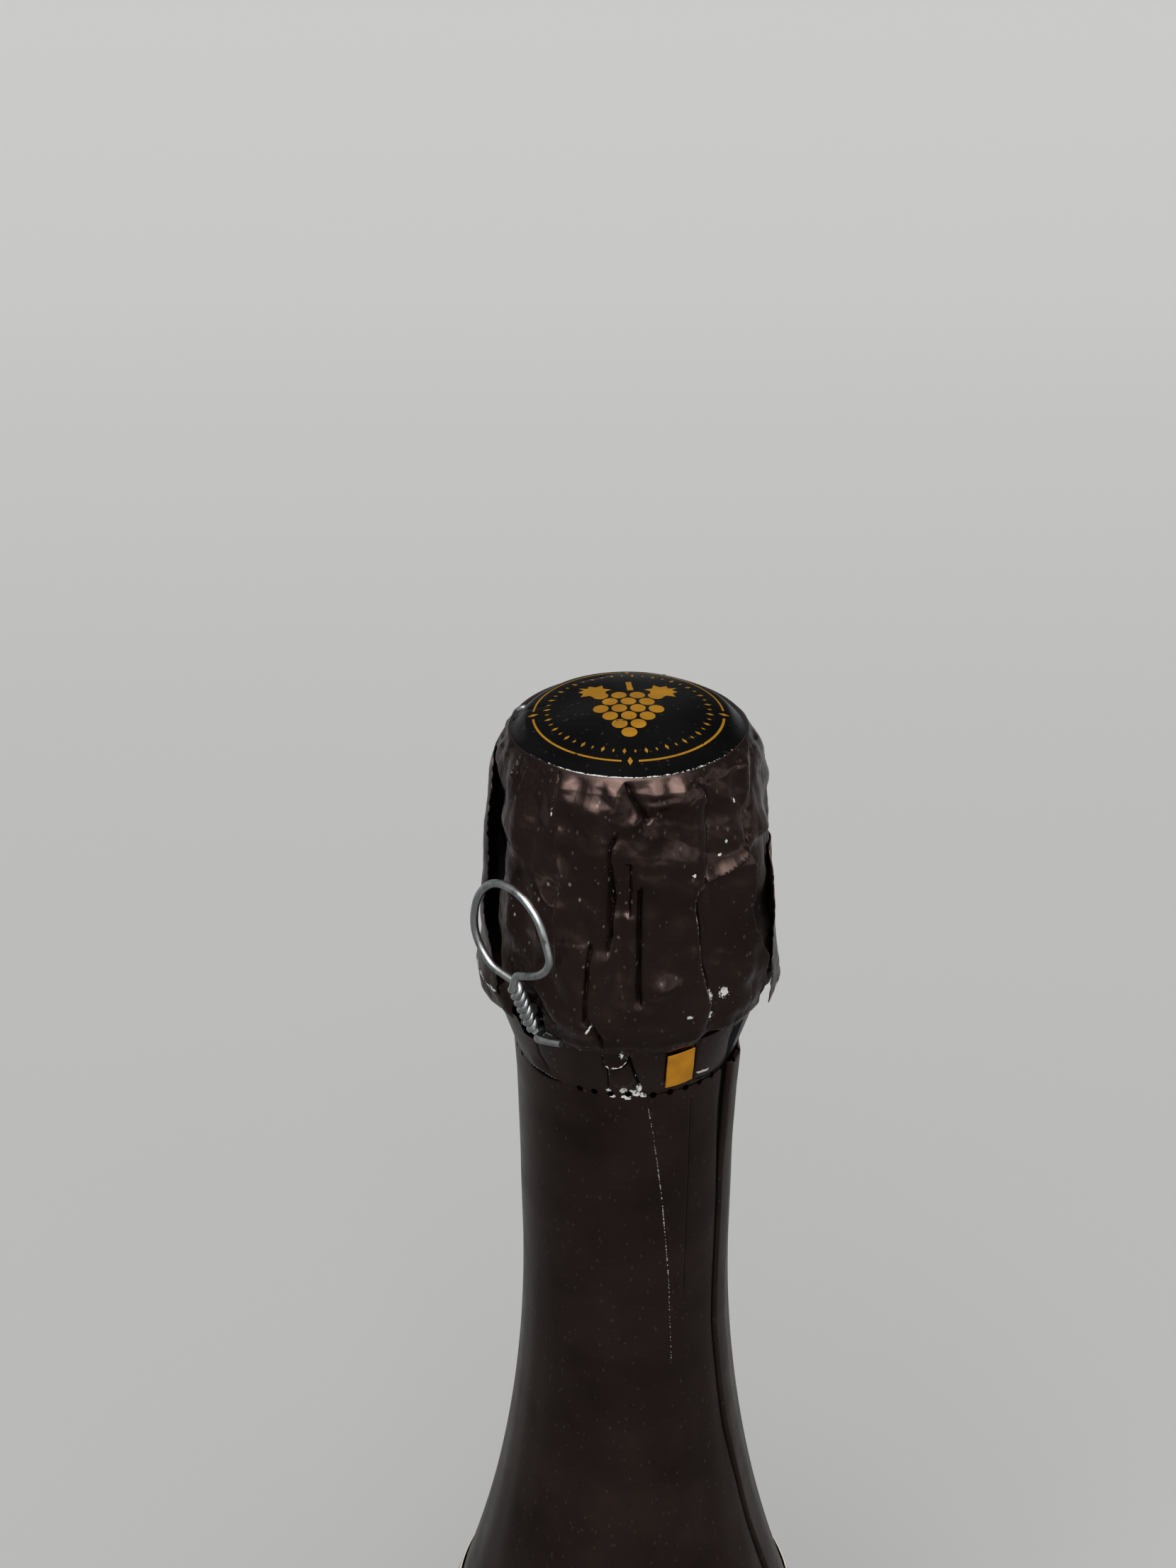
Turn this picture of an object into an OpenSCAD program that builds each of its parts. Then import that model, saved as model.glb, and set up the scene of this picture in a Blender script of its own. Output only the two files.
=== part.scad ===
// Sealed sparkling-wine bottle: glass, wine, mushroom cork, wire cage and crumpled foil capsule.
// Millimetres, +Z up, origin on the table at the bottle's centre. The front faces -Y.
// Azimuths are in degrees from the front, positive towards +X.

/* [Glass] */
// Height of the glass from the table to the lip
glass_h = 308; // [304:1:312]
// Outside diameter of the body
body_d = 90; // [88:0.2:92]
// Outside diameter of the neck where it is narrowest
neck_d = 27.7; // [27.3:0.1:27.8]
// Distance from the lip down to the narrowest place of the neck
neck_drop = 58; // [54:1:62]
// Radius of the long hollow curve of the neck
neck_sweep_r = 238; // [225:1:250]
// Radius of the round shoulder
shoulder_r = 45; // [38:1:52]
// Radius of the heel at the foot of the body
heel_r = 9; // [7:0.5:9]
// Height of the hollow under the bottle
punt_h = 34; // [28:1:38]
// Distance from the body's side in to the middle of the ring that the bottle stands on
bearing_inset = 10.4; // [10.2:0.2:11.4]
// Width of the ring that the bottle stands on
bearing_w = 1.6; // [1:0.2:2]
// Wall of the body
body_wall = 3.4; // [3:0.1:3.9]
// Wall of the neck
neck_wall = 4.3; // [4:0.1:4.6]
// Depth of the panel that keeps the labels from rubbing
panel_depth = 0.25; // [0.15:0.05:0.4]
// Height of the plain contact band above the heel
band_h = 15; // [12:0.5:17]

/* [Mouth] */
// Diameter of the straight bore that grips the cork
bore_d = 17.5; // [17.2:0.1:17.8]
// Length of the straight bore
bore_l = 28; // [26.5:0.5:34]
// Diameter of the bead round the lip
bead_d = 28.6; // [28.2:0.1:28.8]
// Height of the bead round the lip
bead_h = 5; // [4.2:0.2:6]
// Diameter of the collar that holds the wire cage
ring_d = 32.6; // [32.2:0.1:32.8]
// Height of the collar that holds the wire cage
ring_h = 4.8; // [4:0.2:5.4]
// Distance from the lip down to the underside of the collar
ring_drop = 15.8; // [15.6:0.1:16.2]

/* [Wine] */
// Distance from the lip down to the wine
fill_drop = 75; // [68:1:84]
// Gap drawn between the wine and the glass
wine_gap = 0.1; // [0.05:0.05:0.2]

/* [Cork] */
// Largest diameter of the cork's head
cork_d = 30.1; // [29.8:0.1:30.2]
// Height of the cork's head up to the rim of its top
head_h = 19.05; // [18.8:0.05:19.2]
// Height of the dome pressed up in the cork's top
crown_h = 3; // [2.6:0.1:3.1]
// Length of the cork inside the bore
plug_l = 25; // [22:0.5:26]
// Thickness of each whole cork disc at the foot of the plug
disc_t = 6; // [5:0.5:7]
// Clearance between the plug and the bore, on the radius
plug_clear = 0.05; // [0.02:0.01:0.1]
// Gap between the cork's head and the lip
head_seat = 0.3; // [0.2:0.05:0.4]

/* [Wire cage] */
// Diameter of the metal plaque on the cork
plaque_d = 27.8; // [27.4:0.1:27.9]
// Thickness of the plaque's metal
plaque_t = 0.3; // [0.25:0.05:0.35]
// Diameter of the cage's wire
frame_wire = 0.8; // [0.7:0.05:0.85]
// Radius of the wire ring that clamps the plaque
top_ring_r = 12.9; // [12.7:0.05:13]
// Azimuth of the first of the cage's legs
leg_azimuth = -20; // [-22:1:-14]
// Number of legs
legs = 4; // [4:1:4]
// Turns of the two wires in each leg
leg_turns = 7; // [5:1:8]
// Diameter of the belt wire below the collar
belt_wire = 1; // [0.9:0.05:1.05]
// Distance from the collar's underside down to the belt wire
belt_drop = 1.5; // [1.45:0.05:1.6]
// Gap between the belt wire and the neck
belt_clear = 1; // [0.95:0.01:1.05]

/* [Wire eye] */
// Azimuth at which the belt wire's twisted stem comes out of the foil
stem_azimuth = -44.5; // [-46:0.5:-43]
// Outward reach of the stem from its root to its top
stem_reach = 3.25; // [3:0.05:3.6]
// Rise of the stem from its root to its top
stem_rise = 8.25; // [8:0.05:8.8]
// Turns of the stem's two wires
stem_turns = 3; // [2.5:0.5:3.5]
// Width of the eye at the end of the stem
eye_w = 13.2; // [12:0.2:14]
// Height of the eye at the end of the stem
eye_h = 13.6; // [12:0.2:14.5]
// Length of the cut tail of the belt wire
tail_l = 3.4; // [2.4:0.2:4.4]

/* [Foil] */
// Thickness of the foil as drawn, its lining and glue included
foil_t = 0.25; // [0.2:0.01:0.28]
// Radius of the round foil disc on top
disc_r = 14.3; // [14.1:0.05:14.4]
// Radius of the disc's dome
dome_r = 46; // [44:1:50]
// Height of the dome's apex above the lip
apex_h = 23.1; // [23.1:0.1:23.6]
// Room between the cage and the hood, on the radius
hood_slack = 0.4; // [0.35:0.05:0.7]
// Depth factor of the hood's folds
fold_gain = 1; // [0.6:0.05:1.1]
// Height of the lower perforated line below the lip
tear_low = 24.4; // [23.8:0.1:25]
// Height of the tear strip between its two perforated lines
strip_h = 7.8; // [7.6:0.1:7.9]
// Radius of the foil at the lower perforated line
tear_low_r = 14.75; // [14.65:0.05:14.8]
// Radius of the foil at the upper perforated line
tear_top_r = 17.15; // [17.15:0.01:17.25]
// Azimuth of the middle of the pull tab
tab_azimuth = 24.6; // [22:0.2:30]
// Width of the pull tab
tab_w = 4.2; // [3.4:0.1:4.6]
// Height of the pull tab along the strip
tab_h = 6.4; // [5.6:0.1:6.8]
// Thickness of the pull tab
tab_t = 0.35; // [0.25:0.05:0.4]
// Distance from the lip down to the foil's lower edge
skirt_drop = 136; // [132:1:142]
// Azimuth at which the foil's overlapped seam starts
seam_azimuth = 57; // [54:1:62]
// Width of the foil's overlapped seam, in degrees
seam_span = 18; // [12:1:22]

/* [Labels] */
// Thickness of the labels
label_t = 0.2; // [0.15:0.01:0.22]
// Width of the front label round the body
front_w = 96; // [80:1:105]
// Distance from the start of the shoulder down to the front label's upper edge
front_drop = 17; // [14:1:30]
// Width of the back label round the body
back_w = 72; // [60:1:80]
// How much lower the back label ends than the front label
back_drop = 16; // [8:1:24]
// Height of the labels' lower edge above the table
label_z = 30; // [29:0.5:32]
// Radius of the labels' corners
label_corner_r = 3; // [1:0.5:5]
// Distance from the lip down to the collar label's upper edge
collar_drop = 129; // [126:1:131]
// Height of the collar label
collar_h = 22; // [20:1:24]
// Angle that the collar label covers
collar_span = 300; // [240:5:320]

/* [Hidden] */
round_fn = 64;
seat_gap = 0.05;     // gap drawn between thin skins and what they are stuck to
loose_gap = 0.1;     // gap between pieces that lift off each other
neck_z = glass_h - neck_drop;
skirt_z = glass_h - skirt_drop;
collar_z = glass_h - collar_drop - collar_h;
body_r = body_d / 2;
neck_r = neck_d / 2;
bore_r = bore_d / 2;
bead_r = bead_d / 2;
ring_r = ring_d / 2;
cork_r = cork_d / 2;
pair_r = frame_wire; // radius of two frame wires twisted together

// Profile of the glass: straight body, round shoulder, hollow neck, straight throat.
sweep_cx = neck_r + neck_sweep_r;
round_cx = body_r - shoulder_r;
body_top = neck_z - sqrt(pow(neck_sweep_r + shoulder_r, 2) - pow(sweep_cx - round_cx, 2));
tangent_z = body_top + shoulder_r * (neck_z - body_top) / (neck_sweep_r + shoulder_r);
function glass_r(z) =
    z <= body_top ? body_r :
    z <= tangent_z ? round_cx + sqrt(pow(shoulder_r, 2) - pow(z - body_top, 2)) :
    z <= neck_z ? sweep_cx - sqrt(pow(neck_sweep_r, 2) - pow(neck_z - z, 2)) :
    neck_r + 0.1 * min(1, (z - neck_z) / 10);
front_h = body_top - front_drop - label_z;
back_h = front_h - back_drop;
throat_z = glass_h - bore_l;
function wall_at(z) = body_wall + (neck_wall - body_wall) * max(0, min(1, (z - body_top) / (neck_z - body_top)));
function bore_at(z) =
    z <= neck_z ? glass_r(z) - wall_at(z) :
    lookup(z, [[neck_z, neck_r - neck_wall], [throat_z, bore_r]]);

// Heights of the mouth, counted up from the lip.
ring_low = glass_h - ring_drop;
ring_top = ring_low + ring_h;
throat_r = glass_r(glass_h);
belt_z = ring_low - belt_drop;
belt_r = throat_r + belt_clear + belt_wire / 2;
head_low = glass_h + head_seat;
head_top = head_low + head_h;
crown_top = head_top + crown_h;
plug_low = glass_h - plug_l;
plug_r = bore_r - plug_clear;
apex_z = glass_h + apex_h;
function dome_z(r, top) = top - dome_r + sqrt(dome_r * dome_r - r * r);

// Side of the cork's head: a barrel that draws in under the plaque.
head_draw_z = 9.4;
head_draw = 1.75;
function head_r(z) =
    cork_r - head_draw * pow(max(0, (z - head_top + head_draw_z) / head_draw_z), 1.8)
           - 0.7 * pow(max(0, (head_low + 5 - z) / 5), 2);

// Stack of the plaque: dome, channel for the wire ring, turned-down rim.
plaque_r = plaque_d / 2;
plaque_dome_r = top_ring_r - frame_wire / 2 - 0.3;
channel_z = head_top + loose_gap + plaque_t;
ring_wire_z = channel_z + seat_gap + frame_wire / 2;
plaque_top = crown_top + loose_gap + plaque_t;

// Foil: perforated lines, strip and hood.
tear_low_z = glass_h - tear_low;
tear_top_z = tear_low_z + strip_h;
perf_gap = 0.2;
rim_z = dome_z(disc_r, apex_z);
shoulder_foil_r = cork_r + 2 * pair_r + foil_t + hood_slack;
ring_foil_r = ring_r + 2 * pair_r + foil_t + hood_slack;
hood_line = [
    [tear_top_z, tear_top_r + 0.1],
    [tear_top_z + 1.5, tear_top_r + 0.9],
    [ring_low + 3, ring_foil_r - 0.1],
    [ring_top, ring_foil_r],
    [glass_h - 2.7, ring_foil_r - 0.15],
    [glass_h + 2.5, shoulder_foil_r + 0.8],
    [glass_h + 7.6, shoulder_foil_r + 0.6],
    [glass_h + 11.6, shoulder_foil_r + 0.1],
    [glass_h + 13.6, shoulder_foil_r - 0.2],
    [glass_h + 15.6, shoulder_foil_r - 0.65],
    [glass_h + 17.8, shoulder_foil_r - 1.1],
    [glass_h + 19.2, disc_r + 1.5],
    [glass_h + 20.0, disc_r + 1.0],
    [rim_z, disc_r + foil_t + seat_gap]
];

// Folds of the hood: azimuth at the top, azimuth at the foot, half width in degrees,
// depth (ridges positive), and the heights above the lip where each starts and ends.
folds = [
    [-46, -40, 6, -0.45, 21, 13],
    [-70, -69, 8, -0.9, 19, -4],
    [-24, -20, 8, 0.5, 8, -16],
    [-14, -10, 5, 0.35, 18, -6],
    [-5, -5, 4.5, -1.0, 14, -8],
    [20, 15, 6, -0.7, 21, -8],
    [36, 35, 6, -0.75, 19, -6],
    [52, 54, 9, 0.4, 16, -10],
    [70, 70, 8, 0.4, 10, -16],
    [86, 84, 7, -0.5, 15, -6],
    [108, 112, 7, -0.8, 18, -8],
    [128, 126, 9, 0.45, 16, -12],
    [146, 150, 6, -0.7, 20, -6],
    [168, 165, 8, 0.4, 14, -14],
    [188, 184, 6, -0.8, 18, -8],
    [209, 212, 9, 0.5, 17, -12],
    [232, 228, 6, -0.7, 20, -4],
    [250, 250, 8, 0.45, 10, -16],
    [272, 270, 6, -0.4, 16, -2]
];
// Flaps that flare at the hem: azimuth, half width, how far they stand out.
flaps = [[-84, 22, 1.0], [92, 22, 1.0], [150, 16, 0.5], [215, 18, 0.6]];

function turned(a, b) = ((a - b + 540) % 360) - 180;
function smooth(t) = let (u = max(0, min(1, t))) u * u * (3 - 2 * u);
function fold_at(a, dz, f) =
    let (s = (f[4] - dz) / (f[4] - f[5]),
         mid = f[0] + (f[1] - f[0]) * max(0, min(1, s)),
         env = smooth(s * 4) * smooth((1 - s) * 4 + 0.15))
    f[3] * env * exp(-pow(turned(a, mid) / f[2], 2));
function flap_at(a, z, f) =
    f[2] * pow(max(0, min(1, (ring_top + 4 - z) / (ring_top + 4 - tear_top_z))), 1.3)
         * exp(-pow(turned(a, f[0]) / f[1], 2));
function sum(v) = len(v) == 0 ? 0 : v * [for (i = v) 1];
// The foil is pressed in behind the wire stem.
function stem_press(a, z) =
    1.75 * exp(-pow(turned(a, stem_azimuth) / 8, 2)) * smooth((ring_top + 3 - z) / 3.5);
function hood_r(a, z) =
    lookup(z, hood_line)
    + fold_gain * sum([for (f = folds) fold_at(a, z - glass_h, f)])
    + sum([for (f = flaps) flap_at(a, z, f)])
    - stem_press(a, z);
// Hem of the hood, lifted in a notch where the stem comes through.
notch_half = 7;
notch_top_z = tear_top_z + 3.2;
function hem_z(a) =
    tear_top_z + perf_gap + 0.25 * (1 + sin(7 * a)) * (abs(turned(a, tab_azimuth)) < 30 ? 0 : 1)
    + (notch_top_z - tear_top_z) * (abs(turned(a, stem_azimuth)) < notch_half ? 1 : 0);

// Places of the wires.
root_r = belt_r + 1.25;
root_z = belt_z + 0.6;
stem_l = norm([stem_reach, stem_rise]);
stem_dir = [stem_reach, stem_rise] / stem_l;
eye_pair_a = belt_wire / 2 + 0.02;

// Round wire swept along a list of points, with frames carried from point to point.
function unit(v) = v / norm(v);
function tangents(p) =
    [for (i = [0 : len(p) - 1]) unit(p[min(i + 1, len(p) - 1)] - p[max(i - 1, 0)])];
function carried(n, t) = unit(n - (n * t) * t);
function normals(t, first) =
    [for (i = 0, n = carried(first, t[0]); i < len(t);
          i = i + 1, n = i < len(t) ? carried(n, t[i]) : n) n];
module wire(p, r, first = [0.31, 0.17, 0.93], sides = 6) {
    t = tangents(p);
    n = normals(t, first);
    count = len(p);
    points = [for (i = [0 : count - 1], k = [0 : sides - 1])
        let (a = 360 * (k + 0.5) / sides, b = cross(t[i], n[i]), rr = is_list(r) ? r[i] : r)
        p[i] + rr * (cos(a) * n[i] + sin(a) * b)];
    side_faces = [for (i = [0 : count - 2], k = [0 : sides - 1])
        let (a = i * sides + k, b = i * sides + (k + 1) % sides, c = a + sides, d = b + sides)
        each [[a, c, b], [b, c, d]]];
    last = (count - 1) * sides;
    caps = [for (k = [1 : sides - 2]) each [[0, k, k + 1], [last, last + k + 1, last + k]]];
    polyhedron(points, concat(side_faces, caps));
}
// A point at azimuth a, radius r and height z.
function at(a, r, z) = [r * sin(a), -r * cos(a), z];
// Points of a smooth curve through the control points of a list.
function curve_point(p, i, u) =
    let (n = len(p), a = p[max(i - 1, 0)], b = p[i], c = p[min(i + 1, n - 1)], d = p[min(i + 2, n - 1)])
    0.5 * ((2 * b) + (c - a) * u + (2 * a - 5 * b + 4 * c - d) * u * u
           + (3 * b - a - 3 * c + d) * u * u * u);
function curve(p, steps) = concat(
    [for (i = [0 : len(p) - 2], s = [0 : steps - 1]) curve_point(p, i, s / steps)], [p[len(p) - 1]]);

function arc(cx, cy, r, a0, a1, steps) =
    [for (i = [0 : steps]) let (a = a0 + (a1 - a0) * i / steps) [cx + r * cos(a), cy + r * sin(a)]];
function steps(z0, z1, n) = [for (i = [0 : n]) z0 + (z1 - z0) * i / n];

// The glass, seen in half section.
bearing_r = body_r - bearing_inset;
bearing_out = bearing_r + bearing_w / 2;
bearing_in = bearing_r - bearing_w / 2;
panel_low = heel_r + band_h;
panel_high = label_z + front_h + 3;
inner_foot_r = body_r - body_wall;
inner_corner = 4.2;
floor_t = 8;
module glass_outline() {
    punt = [for (t = [90 : -7.5 : 0]) [bearing_in * pow(cos(t), 0.9), punt_h * pow(sin(t), 1.1)]];
    heel = [for (t = [0 : 9 : 90]) [
        bearing_out + (body_r - bearing_out) * sin(t), heel_r * (1 - cos(t))]];
    panel = [[body_r, panel_low], [body_r - panel_depth, panel_low + 1.5],
             [body_r - panel_depth, panel_high - 1.5], [body_r, panel_high]];
    shoulder = [for (z = steps(body_top, tangent_z, 8)) [glass_r(z), z]];
    neck = [for (z = steps(tangent_z + 4, neck_z, 22)) [glass_r(z), z]];
    mouth = [
        [throat_r, neck_z + 10], [throat_r, ring_low - 0.4], [throat_r + 0.4, ring_low],
        [ring_r - 1.2, ring_low], [ring_r - 0.35, ring_low + 0.35], [ring_r, ring_low + 1.2],
        [ring_r, ring_top - 1.2], [ring_r - 0.35, ring_top - 0.35], [ring_r - 1.2, ring_top],
        [bead_r - 0.5, ring_top + 0.5], [bead_r - 0.9, ring_top + 1.5],
        [bead_r - 0.9, glass_h - bead_h - 1], [bead_r, glass_h - bead_h + 0.8],
        [bead_r, glass_h - 2], [bead_r - 0.6, glass_h - 0.6], [bead_r - 2, glass_h],
        [bore_r + 0.6, glass_h], [bore_r, glass_h - 0.6], [bore_r, throat_z]];
    inner_neck = [for (z = steps(neck_z, body_top, 24)) [bore_at(z), z]];
    corner = arc(inner_foot_r - inner_corner, punt_h * 0.2 + inner_corner, inner_corner, 0, -90, 6);
    inner_punt = [for (t = [7.5 : 7.5 : 90]) [
        (inner_foot_r - inner_corner) * pow(max(0, cos(t)), 0.9),
        punt_h * 0.2 + (punt_h * 0.8 + floor_t) * pow(sin(t), 1.1)]];
    polygon(concat(punt, heel, panel, shoulder, neck, mouth, inner_neck, corner, inner_punt));
}
module glass_bottle() {
    color([0.10, 0.14, 0.08]) rotate_extrude($fn = round_fn) glass_outline();
}

// The wine fills the glass up to its level.
wine_z = glass_h - fill_drop;
module wine() {
    g = wine_gap;
    neck = [for (z = steps(body_top, wine_z, 16)) [bore_at(z) - g, z]];
    corner = arc(inner_foot_r - inner_corner, punt_h * 0.2 + inner_corner, inner_corner - g, -90, 0, 6);
    floor_line = [for (t = [90 : -7.5 : 7.5]) [
        (inner_foot_r - inner_corner) * pow(max(0, cos(t)), 0.9) + (t < 90 ? g * cos(t) : 0),
        punt_h * 0.2 + (punt_h * 0.8 + floor_t) * pow(sin(t), 1.1) + g]];
    color([0.86, 0.74, 0.40]) rotate_extrude($fn = round_fn)
        polygon(concat(floor_line, corner, neck, [[0, wine_z]]));
}

// The cork: a head above the lip, a plug in the bore, two whole discs at its foot.
disc_low_z = plug_low + disc_t;
disc_top_z = plug_low + 2 * disc_t;
module cork_body() {
    side = [for (z = steps(head_low + 0.6, head_top, 12)) [head_r(z), z]];
    crown = [for (r = [plaque_dome_r - plaque_t - loose_gap : -2.4 : 2])
        [r, crown_top - r * r / (2 * dome_r)]];
    color([0.76, 0.60, 0.42]) rotate_extrude($fn = round_fn)
        polygon(concat([[0, disc_top_z], [plug_r, disc_top_z], [plug_r, glass_h],
                        [plug_r + 0.3, head_low], [head_r(head_low + 0.6) - 0.6, head_low]],
                       side, [[plaque_dome_r - plaque_t - loose_gap, head_top]], crown,
                       [[0, crown_top]]));
}
module cork_disc(z0, chamfer) {
    color([0.84, 0.70, 0.50]) rotate_extrude($fn = round_fn)
        polygon([[0, z0], [plug_r - chamfer, z0], [plug_r, z0 + chamfer], [plug_r, z0 + disc_t], [0, z0 + disc_t]]);
}
module cork_disc_upper() {
    cork_disc(disc_low_z, 0.01);
}
module cork_disc_lower() {
    cork_disc(plug_low, 0.5);
}

// The metal plaque between the cork and the cage.
module muselet_plaque() {
    rim_in = plaque_r - plaque_t;
    dome = [for (r = [0 : 2 : plaque_dome_r - 1]) [r, plaque_top - r * r / (2 * dome_r)]];
    under = [for (r = [plaque_dome_r - 1 : -2 : 1]) [r, plaque_top - plaque_t - r * r / (2 * dome_r)]];
    edge_z = plaque_top - pow(plaque_dome_r, 2) / (2 * dome_r);
    rim_low = channel_z - 0.8;
    color([0.80, 0.66, 0.30]) rotate_extrude($fn = round_fn)
        polygon(concat(dome, [
            [plaque_dome_r - 0.1, edge_z], [plaque_dome_r, edge_z - 0.2], [plaque_dome_r, channel_z],
            [plaque_r - 0.2, channel_z], [plaque_r, channel_z - 0.2], [plaque_r, rim_low],
            [rim_in, rim_low], [rim_in, channel_z - plaque_t], [plaque_dome_r - plaque_t, channel_z - plaque_t],
            [plaque_dome_r - plaque_t, edge_z - 0.3]], under, [[0, plaque_top - plaque_t]]));
}

// Route of a leg's middle line, from the top ring to the belt wire, as radius and height.
leg_route = [
    [top_ring_r, ring_wire_z],
    [plaque_r + 0.1, ring_wire_z - 0.15],
    [plaque_r + 0.9, ring_wire_z - 1.4],
    [head_r(head_top - 2.4) + pair_r + loose_gap, head_top - 2.6],
    [head_r(head_top - 6.4) + pair_r + loose_gap, head_top - 6.4],
    [cork_r + pair_r + loose_gap, head_low + 8],
    [cork_r + pair_r + loose_gap, head_low + 2],
    [cork_r + pair_r + 0.5, glass_h - 4],
    [ring_r + pair_r + loose_gap, ring_top + 0.8],
    [ring_r + pair_r + loose_gap + 0.1, ring_low + 2.4],
    [ring_r + pair_r - 0.25, ring_low + 0.6],
    [belt_r + 0.75, belt_z + 0.55]
];
eye_mid_r = 0.85;
eye_wire_r = 0.3;
module frame_leg(a) {
    route = curve(leg_route, 6);
    n = len(route);
    // The pair starts as one thick strand that thins into the ring and the belt's eye.
    wide = [for (i = [0 : n - 1]) min(1, max(0.12, (i - 7) / 9), (n - i + 1) / 7)];
    for (side = [0, 180]) {
        path = [for (i = [0 : n - 1])
            let (p = route[i], q = route[min(i + 1, n - 1)] - route[max(i - 1, 0)],
                 o = unit([-q[1], q[0]]), w = 360 * leg_turns * i / n + side,
                 k = frame_wire / 2 * wide[i])
            at(a, p[0] + k * cos(w) * o[0], p[1] + k * cos(w) * o[1])
                + k * sin(w) * [cos(a), sin(a), 0]];
        wire(path, frame_wire / 2 * 0.97, sides = 5);
    }
}
module frame_eye(a) {
    turn = [for (i = [0 : 11]) let (w = 30 * i + 60)
        at(a, belt_r + eye_mid_r * cos(w), belt_z + eye_mid_r * sin(w)) + (i - 5.5) * 0.03 * [cos(a), sin(a), 0]];
    wire(turn, eye_wire_r, sides = 6);
}
module muselet_frame() {
    color([0.66, 0.68, 0.68]) {
        ring_wire(top_ring_r, ring_wire_z, frame_wire / 2);
        for (i = [0 : legs - 1]) {
            a = leg_azimuth + 360 / legs * i;
            frame_leg(a);
            frame_eye(a);
        }
    }
}
module ring_wire(r, z, wire_r) {
    rotate_extrude($fn = round_fn) translate([r, z]) circle(r = wire_r, $fn = 24);
}

// The belt wire, with the root of its twisted stem and its cut tail.
module muselet_belt() {
    w = belt_wire / 2;
    color([0.66, 0.68, 0.68]) {
        ring_wire(belt_r, belt_z, w);
        tail_r = tear_top_r + w + 0.35;
        wire(curve([at(stem_azimuth + 2, belt_r + 0.2, belt_z), at(stem_azimuth + 3.5, root_r, root_z),
                    at(stem_azimuth + 6, tail_r, root_z + 0.3),
                    at(stem_azimuth + 6 + tail_l * 57.3 / tail_r, tail_r + 0.1, root_z + 1)], 5),
             w * 0.95, sides = 8);
        hull() {
            translate(at(stem_azimuth, root_r, root_z)) sphere(r = w * 1.6, $fn = 24);
            translate(at(stem_azimuth, belt_r + 0.1, belt_z)) sphere(r = w * 0.9, $fn = 24);
        }
    }
}

// The twisted stem and the eye that a thumb folds out, one unbroken wire.
eye_shape = [[0, 0], [-0.34, 0.06], [-0.53, 0.34], [-0.5, 0.67], [-0.27, 0.96], [0.05, 1],
             [0.32, 0.83], [0.46, 0.52], [0.38, 0.28], [0.1, 0.14], [0, 0.06]];
module wire_eye() {
    w = belt_wire / 2;
    first = 1.05 * w * 2;
    turns_n = stem_turns * 8;
    function stem_point(i, side) =
        let (s = first + (stem_l - first) * i / turns_n, a = 360 * i / 8 + side,
             r = root_r + stem_dir[0] * s, z = root_z + stem_dir[1] * s)
        at(stem_azimuth, r + eye_pair_a * cos(a) * stem_dir[1], z - eye_pair_a * cos(a) * stem_dir[0])
            + eye_pair_a * sin(a) * [cos(stem_azimuth), sin(stem_azimuth), 0];
    up_side = [for (i = [0 : turns_n]) stem_point(i, 180)];
    down_side = [for (i = [turns_n : -1 : 0]) stem_point(i, 0)];
    top_r = root_r + stem_reach;
    top_z = root_z + stem_rise + 0.4;
    flat = curve([for (p = eye_shape) [p[0] * eye_w, p[1] * eye_h]], 3);
    n = len(flat);
    eye = [for (i = [2 : n - 2]) let (p = flat[i], lean = 0.3 * (i / n - 0.5))
        at(stem_azimuth, top_r + lean, top_z + p[1]) + p[0] * [cos(stem_azimuth), sin(stem_azimuth), 0]];
    color([0.70, 0.72, 0.72]) wire(concat(up_side, eye, down_side), w, sides = 7);
}

// The round foil disc on top of the capsule.
module capsule_disc() {
    top = [for (r = [0 : 1.3 : disc_r]) [r, dome_z(r, apex_z)]];
    low = [for (r = [disc_r - 0.3 : -1.6 : 1]) [r, dome_z(r, apex_z) - foil_t]];
    color([0.10, 0.085, 0.08]) rotate_extrude($fn = round_fn)
        polygon(concat(top, [[disc_r, dome_z(disc_r, apex_z) - 0.05], [disc_r, rim_z - foil_t]],
                       low, [[0, apex_z - foil_t]]));
}

// The crumpled hood, a shell of one thickness.
hood_around = 96;
hood_rows = 16;
module capsule_hood() {
    n = hood_around;
    m = hood_rows;
    // The rows lie closer together towards the rounded rim.
    function row_z(a, j) = hem_z(a) + (rim_z - 0.02 - hem_z(a)) * (1 - pow(1 - j / m, 1.5));
    outer = [for (j = [0 : m], i = [0 : n - 1])
        let (a = 360 * i / n, z = row_z(a, j)) at(a, hood_r(a, z), z)];
    inner = [for (j = [0 : m], i = [0 : n - 1])
        let (a = 360 * i / n, z = row_z(a, j)) at(a, hood_r(a, z) - foil_t, z - (j == m ? foil_t : 0))];
    big = (m + 1) * n;
    skin = [for (j = [0 : m - 1], i = [0 : n - 1])
        let (a = j * n + i, b = j * n + (i + 1) % n, c = a + n, d = b + n)
        each [[a, c, b], [b, c, d], [big + a, big + b, big + c], [big + b, big + d, big + c]]];
    rims = [for (i = [0 : n - 1])
        let (a = i, b = (i + 1) % n, c = m * n + i, d = m * n + b)
        each [[a, b, big + a], [b, big + b, big + a], [c, big + c, d], [d, big + c, big + d]]];
    color([0.09, 0.075, 0.07]) polyhedron(concat(outer, inner), concat(skin, rims));
}

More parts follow.
